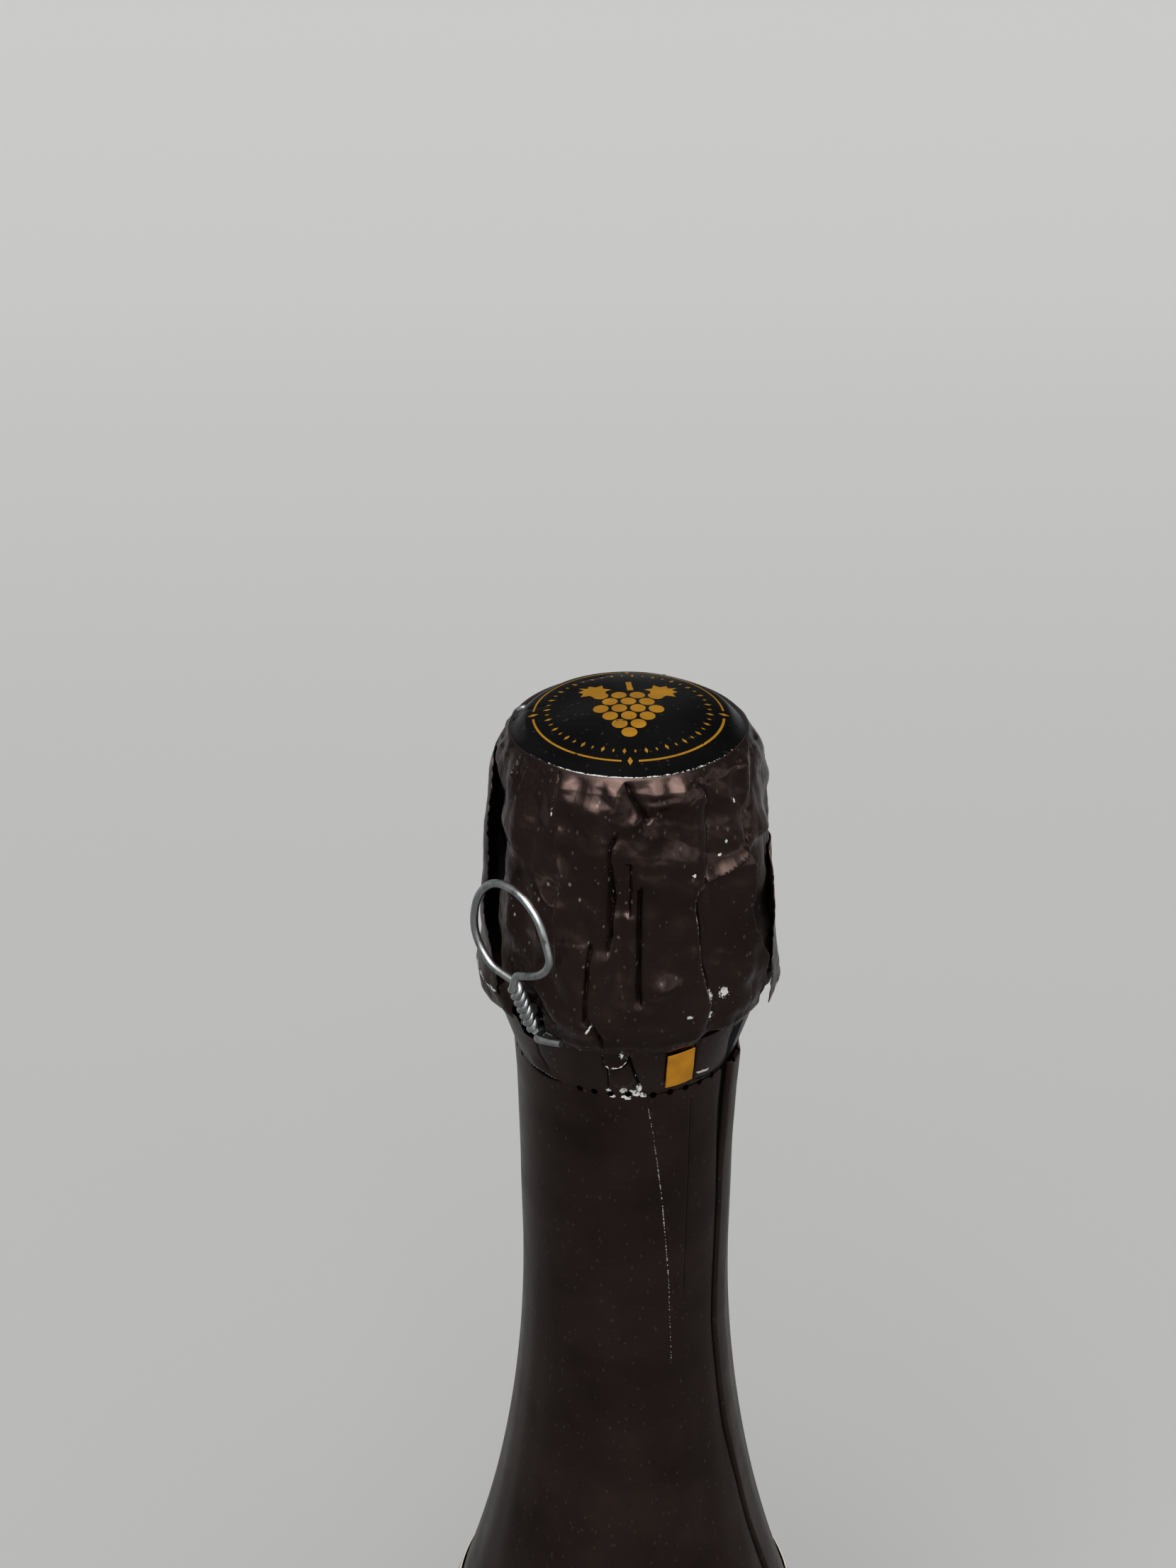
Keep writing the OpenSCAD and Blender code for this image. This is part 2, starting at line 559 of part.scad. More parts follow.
// The tear strip, a cone between the perforated lines, slit where the wire comes through.
strip_slope = (tear_top_r - tear_low_r) / strip_h;
module tear_strip() {
    low = tear_low_z + perf_gap;
    r0 = tear_low_r + strip_slope * perf_gap;
    color([0.12, 0.10, 0.09]) difference() {
        rotate_extrude($fn = round_fn)
            polygon([[r0 - foil_t, low], [r0, low], [tear_top_r, tear_top_z], [tear_top_r - foil_t, tear_top_z]]);
        rotate([0, 0, stem_azimuth]) translate([-1.9, -tear_top_r - 2, tear_top_z - 1.7]) cube([3.8, 5, 3]);
    }
}

// The pull tab, a small flat strip end lying on the tear strip.
tab_mid_z = tear_low_z + strip_h / 2 + 0.35;
tab_mid_r = tear_low_r + strip_slope * (tab_mid_z - tear_low_z) + 0.12;
tab_lean = atan(strip_slope);
module tear_tab() {
    color([0.60, 0.38, 0.08])
        rotate([0, 0, tab_azimuth]) translate([0, -tab_mid_r, tab_mid_z]) rotate([tab_lean, 0, 0])
            translate([-tab_w / 2, -tab_t, -tab_h / 2]) cube([tab_w, tab_t, tab_h]);
}

// The long foil skirt below the perforated lines, with its overlapped seam.
skirt_top_z = tear_low_z - seat_gap;
function skirt_r(z) =
    max(glass_r(z) + seat_gap + foil_t,
        lookup(z, [[neck_z + 8, neck_r + 0.3], [tear_low_z - 6, neck_r + 0.6], [tear_low_z, tear_low_r]]));
module skirt_shell(inset, thickness, z0, z1, span) {
    zs = concat(steps(z0, neck_z, 22), [neck_z + 8, tear_low_z - 6, z1]);
    rotate_extrude(angle = span, $fn = round_fn)
        polygon(concat([for (z = zs) [skirt_r(z) + inset, z]],
                       [for (i = [len(zs) - 1 : -1 : 0]) [skirt_r(zs[i]) + inset - thickness, zs[i]]]));
}
module capsule_skirt() {
    color([0.11, 0.09, 0.08]) {
        skirt_shell(0, foil_t, skirt_z, skirt_top_z, 360);
        rotate([0, 0, seam_azimuth - 90]) skirt_shell(foil_t - 0.05, foil_t, skirt_z, tear_low_z - 2, seam_span);
    }
}

// Paper labels, bare.
module collar_label() {
    zs = steps(collar_z, collar_z + collar_h, 10);
    lift = 3 * seat_gap + 2 * foil_t;
    color([0.90, 0.88, 0.83]) rotate([0, 0, 90 - collar_span / 2 + 180])
        rotate_extrude(angle = collar_span, $fn = round_fn)
            polygon(concat([for (z = zs) [glass_r(z) + lift + label_t, z]],
                           [for (i = [10 : -1 : 0]) [glass_r(zs[i]) + lift, zs[i]]]));
}
module rounded_rect(w, h, r) {
    union() {
        translate([-w / 2 + r, 0]) square([w - 2 * r, h]);
        translate([-w / 2, r]) square([w, h - 2 * r]);
        for (x = [-w / 2 + r, w / 2 - r], y = [r, h - r]) translate([x, y]) circle(r = r, $fn = 32);
    }
}
module body_label(w, h) {
    // The flat outline is as wide as the chord of the label's arc.
    inner = body_r - panel_depth + seat_gap;
    half = w / 2 / inner * 180 / PI;
    color([0.90, 0.88, 0.83]) intersection() {
        rotate_extrude($fn = round_fn)
            translate([inner, label_z]) square([label_t, h]);
        translate([0, 0, label_z]) rotate([90, 0, 0])
            linear_extrude(height = body_d) rounded_rect(2 * inner * sin(half), h, label_corner_r);
    }
}
module front_label() {
    body_label(front_w, front_h);
}
module back_label() {
    rotate([0, 0, 180]) body_label(back_w, back_h);
}

glass_bottle();
wine();
cork_body();
cork_disc_upper();
cork_disc_lower();
muselet_plaque();
muselet_frame();
muselet_belt();
wire_eye();
capsule_disc();
capsule_hood();
tear_strip();
tear_tab();
capsule_skirt();
collar_label();
front_label();
back_label();
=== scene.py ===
import math

import bpy
import numpy as np
from mathutils import Matrix


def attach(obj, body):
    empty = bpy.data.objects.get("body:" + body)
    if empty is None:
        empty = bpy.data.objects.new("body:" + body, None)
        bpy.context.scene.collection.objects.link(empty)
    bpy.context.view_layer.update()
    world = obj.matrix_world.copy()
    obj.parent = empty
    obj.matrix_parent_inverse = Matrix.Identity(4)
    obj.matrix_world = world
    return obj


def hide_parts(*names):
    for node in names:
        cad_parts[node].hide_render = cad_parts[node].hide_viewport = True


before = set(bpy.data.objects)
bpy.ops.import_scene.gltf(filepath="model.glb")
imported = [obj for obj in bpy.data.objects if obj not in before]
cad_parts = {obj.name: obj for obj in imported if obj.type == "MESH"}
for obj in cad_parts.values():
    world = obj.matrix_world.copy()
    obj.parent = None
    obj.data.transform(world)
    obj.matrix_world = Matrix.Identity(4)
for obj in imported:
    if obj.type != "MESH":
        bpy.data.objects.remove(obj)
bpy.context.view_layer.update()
MM = 0.001

# Sizes of the glass
LIP = 308.0
BODY_R = 45.0
NECK_R = 13.85
NECK_Z = 250.0
SWEEP_R = 238.0
SHOULDER_R = 45.0
SWEEP_CX = NECK_R + SWEEP_R
ROUND_CX = BODY_R - SHOULDER_R
BODY_TOP = NECK_Z - math.sqrt((SWEEP_R + SHOULDER_R) ** 2 - (SWEEP_CX - ROUND_CX) ** 2)
TANGENT_Z = BODY_TOP + SHOULDER_R * (NECK_Z - BODY_TOP) / (SWEEP_R + SHOULDER_R)
RING_R = 16.3
RING_LOW = 292.2
RING_TOP = 297.0
HEAD_LOW = 308.3
HEAD_TOP = 327.35
CORK_R = 15.05

# Sizes of the wires
FRAME_WIRE = 0.8
BELT_WIRE = 1.0
BELT_Z = 290.7
BELT_R = 15.45
TOP_RING_R = 12.9
RING_WIRE_Z = 328.2
PLAQUE_R = 13.9
LEG_AZIMUTH = -20.0
LEG_TURNS = 7
STEM_AZIMUTH = -44.5
STEM_REACH = 3.25
STEM_RISE = 8.25
STEM_TURNS = 3
ROOT_R = BELT_R + 1.25
ROOT_Z = BELT_Z + 0.6
TAIL_L = 3.4

# Sizes of the foil
SHEET = 0.12
DISC_R = 14.3
DOME_R = 46.0
APEX_Z = 331.1
RIM_Z = APEX_Z - DOME_R + math.sqrt(DOME_R**2 - DISC_R**2)
SHOULDER_FOIL_R = 17.3
RING_FOIL_R = 18.55
TEAR_LOW_Z = 283.6
TEAR_TOP_Z = 291.4
TEAR_LOW_R = 14.75
TEAR_TOP_R = 17.15
SKIRT_Z = 172.0
TAB_AZIMUTH = 24.6
TAB_W = 4.2
TAB_H = 6.4
TAB_T = 0.35
ARC_R = 17.5


def smooth(t):
    u = np.clip(t, 0, 1)
    return u * u * (3 - 2 * u)


def turned(a, b):
    return (a - b + 540) % 360 - 180


def glass_r(z):
    z = np.asarray(z, float)
    low = ROUND_CX + np.sqrt(np.maximum(SHOULDER_R**2 - np.maximum(z - BODY_TOP, 0) ** 2, 0))
    mid = SWEEP_CX - np.sqrt(np.maximum(SWEEP_R**2 - (NECK_Z - z) ** 2, 0))
    top = NECK_R + 0.1 * np.clip((z - NECK_Z) / 10, 0, 1)
    upper = np.where(z <= NECK_Z, mid, top)
    return np.where(z <= BODY_TOP, BODY_R, np.where(z <= TANGENT_Z, low, upper))


def at(a, r, z):
    """Points at azimuth a, radius r and height z."""
    a = np.radians(a)
    return np.stack(np.broadcast_arrays(r * np.sin(a), -r * np.cos(a), z), -1)


# Meshes
def grid_faces(rows, cols, closed):
    steps = cols if closed else cols - 1
    i, j = np.meshgrid(np.arange(rows - 1), np.arange(steps), indexing="ij")
    k = (j + 1) % cols
    quads = [i * cols + j, i * cols + k, (i + 1) * cols + k, (i + 1) * cols + j]
    return np.stack(quads, -1).reshape(-1, 4)


def add_piece(name, points, faces, body, nodes=(), materials=(), tags=None, sharp=50):
    mesh = bpy.data.meshes.new(name)
    mesh.from_pydata((np.asarray(points) * MM).tolist(), [], [list(f) for f in faces])
    for mat in materials:
        mesh.materials.append(mat)
    if tags is not None:
        mesh.polygons.foreach_set("material_index", np.asarray(tags, np.int32))
    mesh.polygons.foreach_set("use_smooth", np.ones(len(mesh.polygons), bool))
    mesh.set_sharp_from_angle(angle=math.radians(sharp))
    mesh.update()
    obj = bpy.data.objects.new(name, mesh)
    bpy.context.scene.collection.objects.link(obj)
    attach(obj, body)
    if nodes:
        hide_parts(*nodes)
    return obj


def set_field(obj, name, values):
    """Stores one number for each point, for the material to read."""
    field = obj.data.attributes.new(name, "FLOAT", "POINT")
    field.data.foreach_set("value", np.asarray(values, np.float32).ravel())


def shell(outer, inner, closed):
    """A thin sheet with rims. Its faces are tagged 0 outside, 1 inside and 2 on the cut edges."""
    rows, cols = outer.shape[:2]
    n = rows * cols
    j = np.arange(cols if closed else cols - 1)
    k = (j + 1) % cols
    top = (rows - 1) * cols
    out = grid_faces(rows, cols, closed)
    parts = [out, out[:, ::-1] + n, np.stack([k, j, j + n, k + n], 1)]
    parts.append(np.stack([j, k, k + n, j + n], 1) + top)
    tags = [0, 1, 2, 2]
    if not closed:
        a = np.arange(rows - 1) * cols
        b = a + cols
        e = cols - 1
        parts.append(np.stack([a, b, b + n, a + n], 1))
        parts.append(np.stack([b + e, a + e, a + e + n, b + e + n], 1))
        tags += [2, 2]
    points = np.concatenate([outer.reshape(-1, 3), inner.reshape(-1, 3)])
    marks_and_shade = np.concatenate([np.full(len(p), t) for p, t in zip(parts, tags)])
    return points, np.concatenate(parts), marks_and_shade


def curve(points, steps):
    """A smooth curve through points, with steps parts between each two of them."""
    p = np.asarray(points, float)
    n = len(p)
    out = []
    for i in range(n - 1):
        a, b, c, d = p[max(i - 1, 0)], p[i], p[i + 1], p[min(i + 2, n - 1)]
        for s in range(steps):
            u = s / steps
            cubic = (3 * b - a - 3 * c + d) * u**3
            out.append(0.5 * (2 * b + (c - a) * u + (2 * a - 5 * b + 4 * c - d) * u * u + cubic))
    out.append(p[-1])
    return np.array(out)


def tube(path, radius, sides=12, closed=False):
    """Round wire along a list of points."""
    p = np.asarray(path, float)
    n = len(p)
    if closed:
        tangent = np.roll(p, -1, 0) - np.roll(p, 1, 0)
    else:
        tangent = np.gradient(p, axis=0)
    tangent /= np.linalg.norm(tangent, axis=1)[:, None]
    normal = np.array([0.31, 0.17, 0.93])
    frames = []
    for t in tangent:
        normal = normal - normal.dot(t) * t
        normal /= np.linalg.norm(normal)
        frames.append((normal, np.cross(t, normal)))
    w = np.radians(360 * np.arange(sides) / sides)
    radius = np.broadcast_to(radius, n)
    rings = [c + r * (np.outer(np.cos(w), f[0]) + np.outer(np.sin(w), f[1]))
             for c, r, f in zip(p, radius, frames)]
    points = np.concatenate(rings)
    if closed:
        i, j = np.meshgrid(np.arange(n), np.arange(sides), indexing="ij")
        k, m = (j + 1) % sides, (i + 1) % n
        faces = np.stack([i * sides + j, i * sides + k, m * sides + k, m * sides + j], -1).reshape(-1, 4).tolist()
    else:
        faces = grid_faces(n, sides, True).tolist()
        faces.append(list(range(sides - 1, -1, -1)))
        faces.append([(n - 1) * sides + j for j in range(sides)])
    return points, faces


def joined(parts):
    """One list of points and faces from several."""
    points, faces, first = [], [], 0
    for p, f in parts:
        points.append(np.asarray(p, float))
        faces += [[first + i for i in face] for face in f]
        first += len(p)
    return np.concatenate(points), faces


# Materials
def new_material(name, color, roughness, metallic=0.0):
    mat = bpy.data.materials.new(name)
    mat.use_nodes = True
    shader = mat.node_tree.nodes["Principled BSDF"]
    shader.inputs["Base Color"].default_value = (*color, 1)
    shader.inputs["Roughness"].default_value = roughness
    shader.inputs["Metallic"].default_value = metallic
    return mat, mat.node_tree, shader


def add_node(tree, kind, inputs=None, **settings):
    node = tree.nodes.new(kind)
    for key, value in settings.items():
        setattr(node, key, value)
    for key, value in (inputs or {}).items():
        if isinstance(value, bpy.types.NodeSocket):
            tree.links.new(value, node.inputs[key])
        else:
            node.inputs[key].default_value = value
    return node


def coords(tree, scale=(1, 1, 1)):
    place = add_node(tree, "ShaderNodeTexCoord")
    mapped = add_node(tree, "ShaderNodeMapping", {"Vector": place.outputs["Object"], "Scale": scale})
    return mapped.outputs["Vector"]


def noise(tree, vector, scale, detail=3.0, rough=0.55, distort=0.0):
    n = add_node(tree, "ShaderNodeTexNoise", {"Vector": vector, "Scale": scale, "Detail": detail,
                                              "Roughness": rough, "Distortion": distort})
    return n.outputs["Fac"]


def ramp(tree, fac, stops, mode="LINEAR"):
    """Colours or greys at given places; stops are (place, colour or grey)."""
    n = add_node(tree, "ShaderNodeValToRGB", {"Fac": fac})
    n.color_ramp.interpolation = mode
    items = n.color_ramp.elements
    while len(items) < len(stops):
        items.new(0.5)
    for item, (place, value) in zip(items, stops):
        item.position = place
        item.color = (value, value, value, 1) if isinstance(value, (int, float)) else (*value, 1)
    return n.outputs["Color"]


def maths(tree, kind, a, b=0.0, c=0.0):
    n = add_node(tree, "ShaderNodeMath", {0: a, 1: b, 2: c}, operation=kind)
    return n.outputs[0]


def mix(tree, fac, a, b):
    n = tree.nodes.new("ShaderNodeMix")
    n.data_type = "RGBA"
    for socket, value in ((n.inputs["Factor"], fac), (n.inputs[6], a), (n.inputs[7], b)):
        if isinstance(value, bpy.types.NodeSocket):
            tree.links.new(value, socket)
        elif isinstance(value, tuple):
            socket.default_value = (*value, 1)
        else:
            socket.default_value = value
    return n.outputs[2]


def bump(tree, shader, height, distance, strength=1.0):
    n = add_node(tree, "ShaderNodeBump", {"Height": height, "Distance": distance, "Strength": strength})
    tree.links.new(n.outputs["Normal"], shader.inputs["Normal"])


def field(tree, name):
    return add_node(tree, "ShaderNodeAttribute", attribute_name=name).outputs["Fac"]


def foil_material(name, color, rough, metallic=0.4, marks_and_shade=True):
    """Brown-black lacquered foil. Where marks is set, it reads the fields wear and dust, and the field shade, a painted
    shade that turns the foil nearly black and dull in creases and gaps.
    """
    mat, tree, shader = new_material(name, color, rough, metallic)
    place = coords(tree)
    large = noise(tree, place, 90, 3)
    fine = noise(tree, place, 2600, 2, 0.6)
    dark = tuple(c * 0.75 for c in color)
    light = tuple(c * 1.35 for c in color)
    tone = ramp(tree, large, [(0.3, dark), (0.7, light)])
    rough_map = ramp(tree, noise(tree, place, 260, 4), [(0.25, rough - 0.06), (0.75, rough + 0.08)])
    height = maths(tree, "ADD", maths(tree, "MULTIPLY", fine, 0.35), noise(tree, place, 420, 3))
    if marks_and_shade:
        rag = ramp(tree, noise(tree, place, 2900, 4, 0.65), [(0.36, 0.0), (0.64, 1.0)])
        ragged = maths(tree, "ADD", field(tree, "wear"), maths(tree, "MULTIPLY", rag, 0.55))
        bare = ramp(tree, maths(tree, "MULTIPLY", ragged, 0.6), [(0.0, 0.0), (0.57, 0.0), (0.62, 1.0)])
        cells = add_node(tree, "ShaderNodeTexVoronoi", {"Vector": coords(tree, (1, 1, 0.6)), "Scale": 1100.0})
        speck = ramp(tree, cells.outputs["Distance"], [(0.0, 1.0), (0.15, 0.9), (0.23, 0.0)])
        some = ramp(tree, noise(tree, place, 700, 2), [(0.47, 0.0), (0.55, 1.0)])
        dust = maths(tree, "MULTIPLY", maths(tree, "MULTIPLY", speck, some), field(tree, "dust"))
        tone = mix(tree, dust, tone, (0.36, 0.34, 0.30))
        # Painted shade: where the field shade is set, the foil turns nearly black and dull
        tone = mix(tree, field(tree, "shade"), tone, (0.0008, 0.0007, 0.0007))
        tone = mix(tree, bare, tone, (0.72, 0.71, 0.68))
        dull = maths(tree, "MAXIMUM", bare, dust)
        tree.links.new(mix(tree, dull, (metallic,) * 3, (0.1, 0.1, 0.1)), shader.inputs["Metallic"])
        rough_map = mix(tree, bare, rough_map, (0.55, 0.55, 0.55))
        rough_map = mix(tree, field(tree, "shade"), rough_map, (0.7, 0.7, 0.7))
    tree.links.new(tone, shader.inputs["Base Color"])
    tree.links.new(rough_map, shader.inputs["Roughness"])
    bump(tree, shader, height, 0.00003, 0.5)
    return mat


FOIL = foil_material("foil_brown_black", (0.058, 0.037, 0.032), 0.27, 0.9)
DISC_FOIL = foil_material("foil_disc_black", (0.014, 0.013, 0.013), 0.25, 0.85)
DISC_FOIL.node_tree.nodes["Principled BSDF"].inputs["Specular IOR Level"].default_value = 0.32
FOIL_BACK = foil_material("foil_back", (0.05, 0.04, 0.036), 0.5, 0.5, marks_and_shade=False)


def silver_inside():
    mat, tree, shader = new_material("foil_inside", (0.72, 0.72, 0.72), 0.38, 0.85)
    place = coords(tree)
    tone = ramp(tree, noise(tree, place, 500, 4), [(0.3, (0.62, 0.62, 0.61)), (0.7, (0.78, 0.78, 0.78))])
    tree.links.new(tone, shader.inputs["Base Color"])
    bump(tree, shader, noise(tree, place, 1800, 3), 0.00003, 0.6)
    return mat


def torn_edge():
    mat, tree, shader = new_material("foil_cut_edge", (0.5, 0.49, 0.47), 0.6, 0.2)
    place = coords(tree)
    tone = ramp(tree, noise(tree, place, 900, 4), [(0.35, (0.03, 0.022, 0.02)), (0.6, (0.62, 0.61, 0.58))])
    tree.links.new(tone, shader.inputs["Base Color"])
    bump(tree, shader, noise(tree, place, 4000, 3), 0.00004)
    return mat


def gold_print(name, color, worn):
    mat, tree, shader = new_material(name, color, 0.42, 0.35)
    place = coords(tree)
    tone = ramp(tree, noise(tree, place, 350, 4), [(0.3, tuple(c * 0.8 for c in color)), (0.7, tuple(c * 1.15 for c in color))])
    if worn:
        scuffs = maths(tree, "MULTIPLY", noise(tree, place, 1400, 4, 0.7), 0.5)
        scuffs = maths(tree, "ADD", scuffs, maths(tree, "MULTIPLY", noise(tree, place, 160, 2), 0.4))
        gone = ramp(tree, scuffs, [(0.0, 0.0), (worn, 0.0), (worn + 0.03, 1.0)])
        tone = mix(tree, gone, tone, (0.05, 0.035, 0.025))
    tree.links.new(tone, shader.inputs["Base Color"])
    bump(tree, shader, noise(tree, place, 2500, 2), 0.00002, 0.5)
    return mat


def wire_material():
    mat, tree, shader = new_material("galvanised_wire", (0.6, 0.62, 0.62), 0.34, 1.0)
    place = coords(tree)
    streak = noise(tree, coords(tree, (1, 1, 0.35)), 900, 4, 0.65)
    tone = ramp(tree, streak, [(0.28, (0.16, 0.165, 0.165)), (0.42, (0.50, 0.52, 0.52)), (0.7, (0.68, 0.70, 0.70))])
    tree.links.new(tone, shader.inputs["Base Color"])
    tree.links.new(ramp(tree, noise(tree, place, 600, 3), [(0.3, 0.28), (0.7, 0.46)]), shader.inputs["Roughness"])
    bump(tree, shader, noise(tree, place, 3000, 3), 0.00002, 0.6)
    return mat


INSIDE = silver_inside()
EDGE = torn_edge()
GOLD = gold_print("gold_print", (0.54, 0.25, 0.012), 0.55)
TAB_GOLD = gold_print("tab_gold", (0.72, 0.30, 0.006), 0)
WIRE = wire_material()

# Hood: the plain form, as the frame has it
HOOD_LINE = [
    (TEAR_TOP_Z, TEAR_TOP_R + 0.1), (TEAR_TOP_Z + 1.5, TEAR_TOP_R + 0.9), (RING_LOW + 3, RING_FOIL_R - 0.1),
    (RING_TOP, RING_FOIL_R), (LIP - 2.7, RING_FOIL_R - 0.15), (LIP + 2.5, SHOULDER_FOIL_R + 0.8),
    (LIP + 7.6, SHOULDER_FOIL_R + 0.6), (LIP + 11.6, SHOULDER_FOIL_R + 0.1), (LIP + 13.6, SHOULDER_FOIL_R - 0.2),
    (LIP + 15.6, SHOULDER_FOIL_R - 0.65), (LIP + 17.8, SHOULDER_FOIL_R - 1.1), (LIP + 19.2, DISC_R + 1.5),
    (LIP + 20.0, DISC_R + 1.0), (RIM_Z, DISC_R + 0.3)]
# Wide folds: azimuth at top and foot, half width, depth, and heights above the lip of top and foot
FOLDS = [
    (-46, -40, 6, -0.45, 21, 13), (-70, -69, 8, -0.9, 19, -4), (-24, -20, 8, 0.5, 8, -16),
    (-14, -10, 5, 0.35, 18, -6), (-5, -5, 4.5, -1.0, 14, -8), (20, 15, 6, -0.7, 21, -8),
    (36, 35, 6, -0.75, 19, -6), (52, 54, 9, 0.4, 16, -10), (70, 70, 8, 0.4, 10, -16),
    (86, 84, 7, -0.5, 15, -6), (108, 112, 7, -0.8, 18, -8), (128, 126, 9, 0.45, 16, -12),
    (146, 150, 6, -0.7, 20, -6), (168, 165, 8, 0.4, 14, -14), (188, 184, 6, -0.8, 18, -8),
    (209, 212, 9, 0.5, 17, -12), (232, 228, 6, -0.7, 20, -4), (250, 250, 8, 0.45, 10, -16),
    (272, 270, 6, -0.4, 16, -2)]
FLAPS = [(-84, 22, 1.0), (92, 22, 1.0), (150, 16, 0.5), (215, 18, 0.6)]


def plain_hood(a, z):
    heights = [h for h, _ in HOOD_LINE]
    r = np.interp(z, heights, [v for _, v in HOOD_LINE])
    dz = z - LIP
    for top, foot, half, depth, high, low in FOLDS:
        s = (high - dz) / (high - low)
        mid = top + (foot - top) * np.clip(s, 0, 1)
        strength = smooth(s * 4) * smooth((1 - s) * 4 + 0.15)
        r = r + depth * strength * np.exp(-(turned(a, mid) / half) ** 2)
    for mid, half, out in FLAPS:
        reach = np.clip((RING_TOP + 4 - z) / (RING_TOP + 4 - TEAR_TOP_Z), 0, 1) ** 1.3
        r = r + out * reach * np.exp(-(turned(a, mid) / half) ** 2)
    press = 1.75 * np.exp(-(turned(a, STEM_AZIMUTH) / 8) ** 2) * smooth((RING_TOP + 3 - z) / 3.5)
    return r - press


# Sharp lines of the hood as (azimuth, height above the lip), measured on the real foil
LINES = {
    "left_short": [(-34.1, 20.8), (-33.1, 19.8), (-33.3, 18.0), (-33.5, 15.9)],
    "left_high": [(-59.5, 20.9), (-59.3, 19.8), (-59.4, 18.6), (-59.7, 17.7)],
    "middle": [(-2.7, 20.6), (-2.1, 20.1), (-0.9, 19.2), (2.4, 17.8), (5.6, 16.5), (7.1, 15.5)],
    "right_long": [(29.6, 20.5), (30.2, 19.8), (32.8, 18.9), (33.7, 17.7), (34.2, 14.7), (34.0, 13.1), (32.8, 11.6),
                   (32.7, 9.9), (30.7, 8.4), (29.7, 6.9), (27.1, 6.4), (26.2, 5.2), (26.8, 3.4), (28.0, 0.8),
                   (28.5, -2.2), (28.9, -4.5), (30.3, -6.1), (33.1, -10.3), (32.6, -12.3), (31.5, -14.7)],
    "front_deep": [(4.6, 8.4), (4.2, 6.3), (4.0, 1.0), (3.9, -2.6), (3.9, -6.3), (4.3, -9.4)],
    "front_wavy": [(-3.9, 15.0), (-7.7, 13.0), (-8.0, 11.4), (-6.8, 8.0), (-6.2, 5.9), (-7.3, 2.7), (-7.1, 0.9),
                   (-8.4, -0.6), (-8.6, -2.4)],
    "front_short": [(0.1, 11.1), (-0.2, 9.1), (0.0, 7.1), (-0.3, 3.3)],
    "left_faint": [(-29.8, 15.1), (-30.2, 13.1), (-29.8, 10.2), (-26.7, 7.5), (-28.9, 5.0), (-28.9, 1.4),
                   (-27.8, -3.6), (-28.6, -7.5)],
    "pleat": [(-15.8, 0.6), (-15.0, -0.1), (-16.4, -3.5), (-17.1, -8.8), (-16.9, -10.7), (-15.6, -11.2),
              (-13.2, -12.6), (-10.3, -15.4)],
    "right_fold": [(71.7, 20.3), (65.2, 17.8), (61.9, 16.2), (56.5, 14.3), (53.2, 12.6), (52.4, 9.6)],
    "right_ridge": [(29.7, 6.9), (33.9, 7.2), (38.4, 7.4), (44.0, 8.0), (48.9, 8.5), (52.6, 9.3)],
    "right_panel": [(52.4, 9.6), (53.4, 6.3), (52.3, 3.9), (51.9, 1.4), (53.1, -1.0), (54.9, -3.2), (60.2, -6.4),
                    (61.0, -9.2), (64.0, -13.6)],
    "stem_slit": [(-42.7, -10.4), (-38.9, -11.5), (-34.1, -12.1), (-29.7, -13.2)],
    "back_a": [(100, 20), (104, 12), (99, 4), (106, -6), (103, -14)],
    "back_b": [(131, 19), (126, 10), (133, 2), (130, -9)],
    "back_c": [(158, 20.5), (161, 14), (155, 6), (160, -3), (157, -12)],
    "back_d": [(-172, 19), (-168, 11), (-173, 3), (-167, -8)],
    "back_e": [(-141, 20), (-146, 12), (-139, 5), (-144, -6), (-140, -14)],
    "back_f": [(-113, 19), (-110, 12), (-116, 3), (-112, -9)]}
# Depth (ridges positive), half width, how much the side after the line stands out, in mm,
# then half width of its black shadow in mm and share of bare metal
CREASES = [
    ("left_short", -0.55, 0.30, 0.15, 0.13, 0.3), ("left_high", 0.25, 0.35, -0.18, 0.0, 0.4),
    ("middle", -0.75, 0.45, -0.2, 0.12, 0.2), ("right_long", -0.7, 0.35, -0.4, 0.16, 0.55),
    ("front_deep", -0.9, 0.60, 0.3, 0.15, 0.0), ("front_wavy", -0.6, 0.45, 0.25, 0.09, 0.3),
    ("front_short", -0.6, 0.50, 0.15, 0.10, 0.0), ("left_faint", 0.28, 0.40, 0.15, 0.0, 0.35),
    ("pleat", -0.55, 0.30, -0.3, 0.13, 0.1), ("right_fold", -0.9, 0.80, -0.25, 0.25, 0.0),
    ("right_ridge", 0.5, 0.60, 0.3, 0.0, 0.0), ("right_panel", 0.15, 0.35, -0.8, 0.14, 0.2),
    ("stem_slit", -0.6, 0.35, 0.15, 0.45, 0.2), ("back_a", -0.6, 0.50, 0.2, 0.12, 0.2),
    ("back_b", 0.4, 0.60, -0.2, 0.0, 0.2), ("back_c", -0.7, 0.50, 0.2, 0.14, 0.2),
    ("back_d", -0.4, 0.50, 0.25, 0.10, 0.0), ("back_e", -0.6, 0.50, -0.25, 0.12, 0.3),
    ("back_f", 0.35, 0.60, 0.2, 0.0, 0.2)]
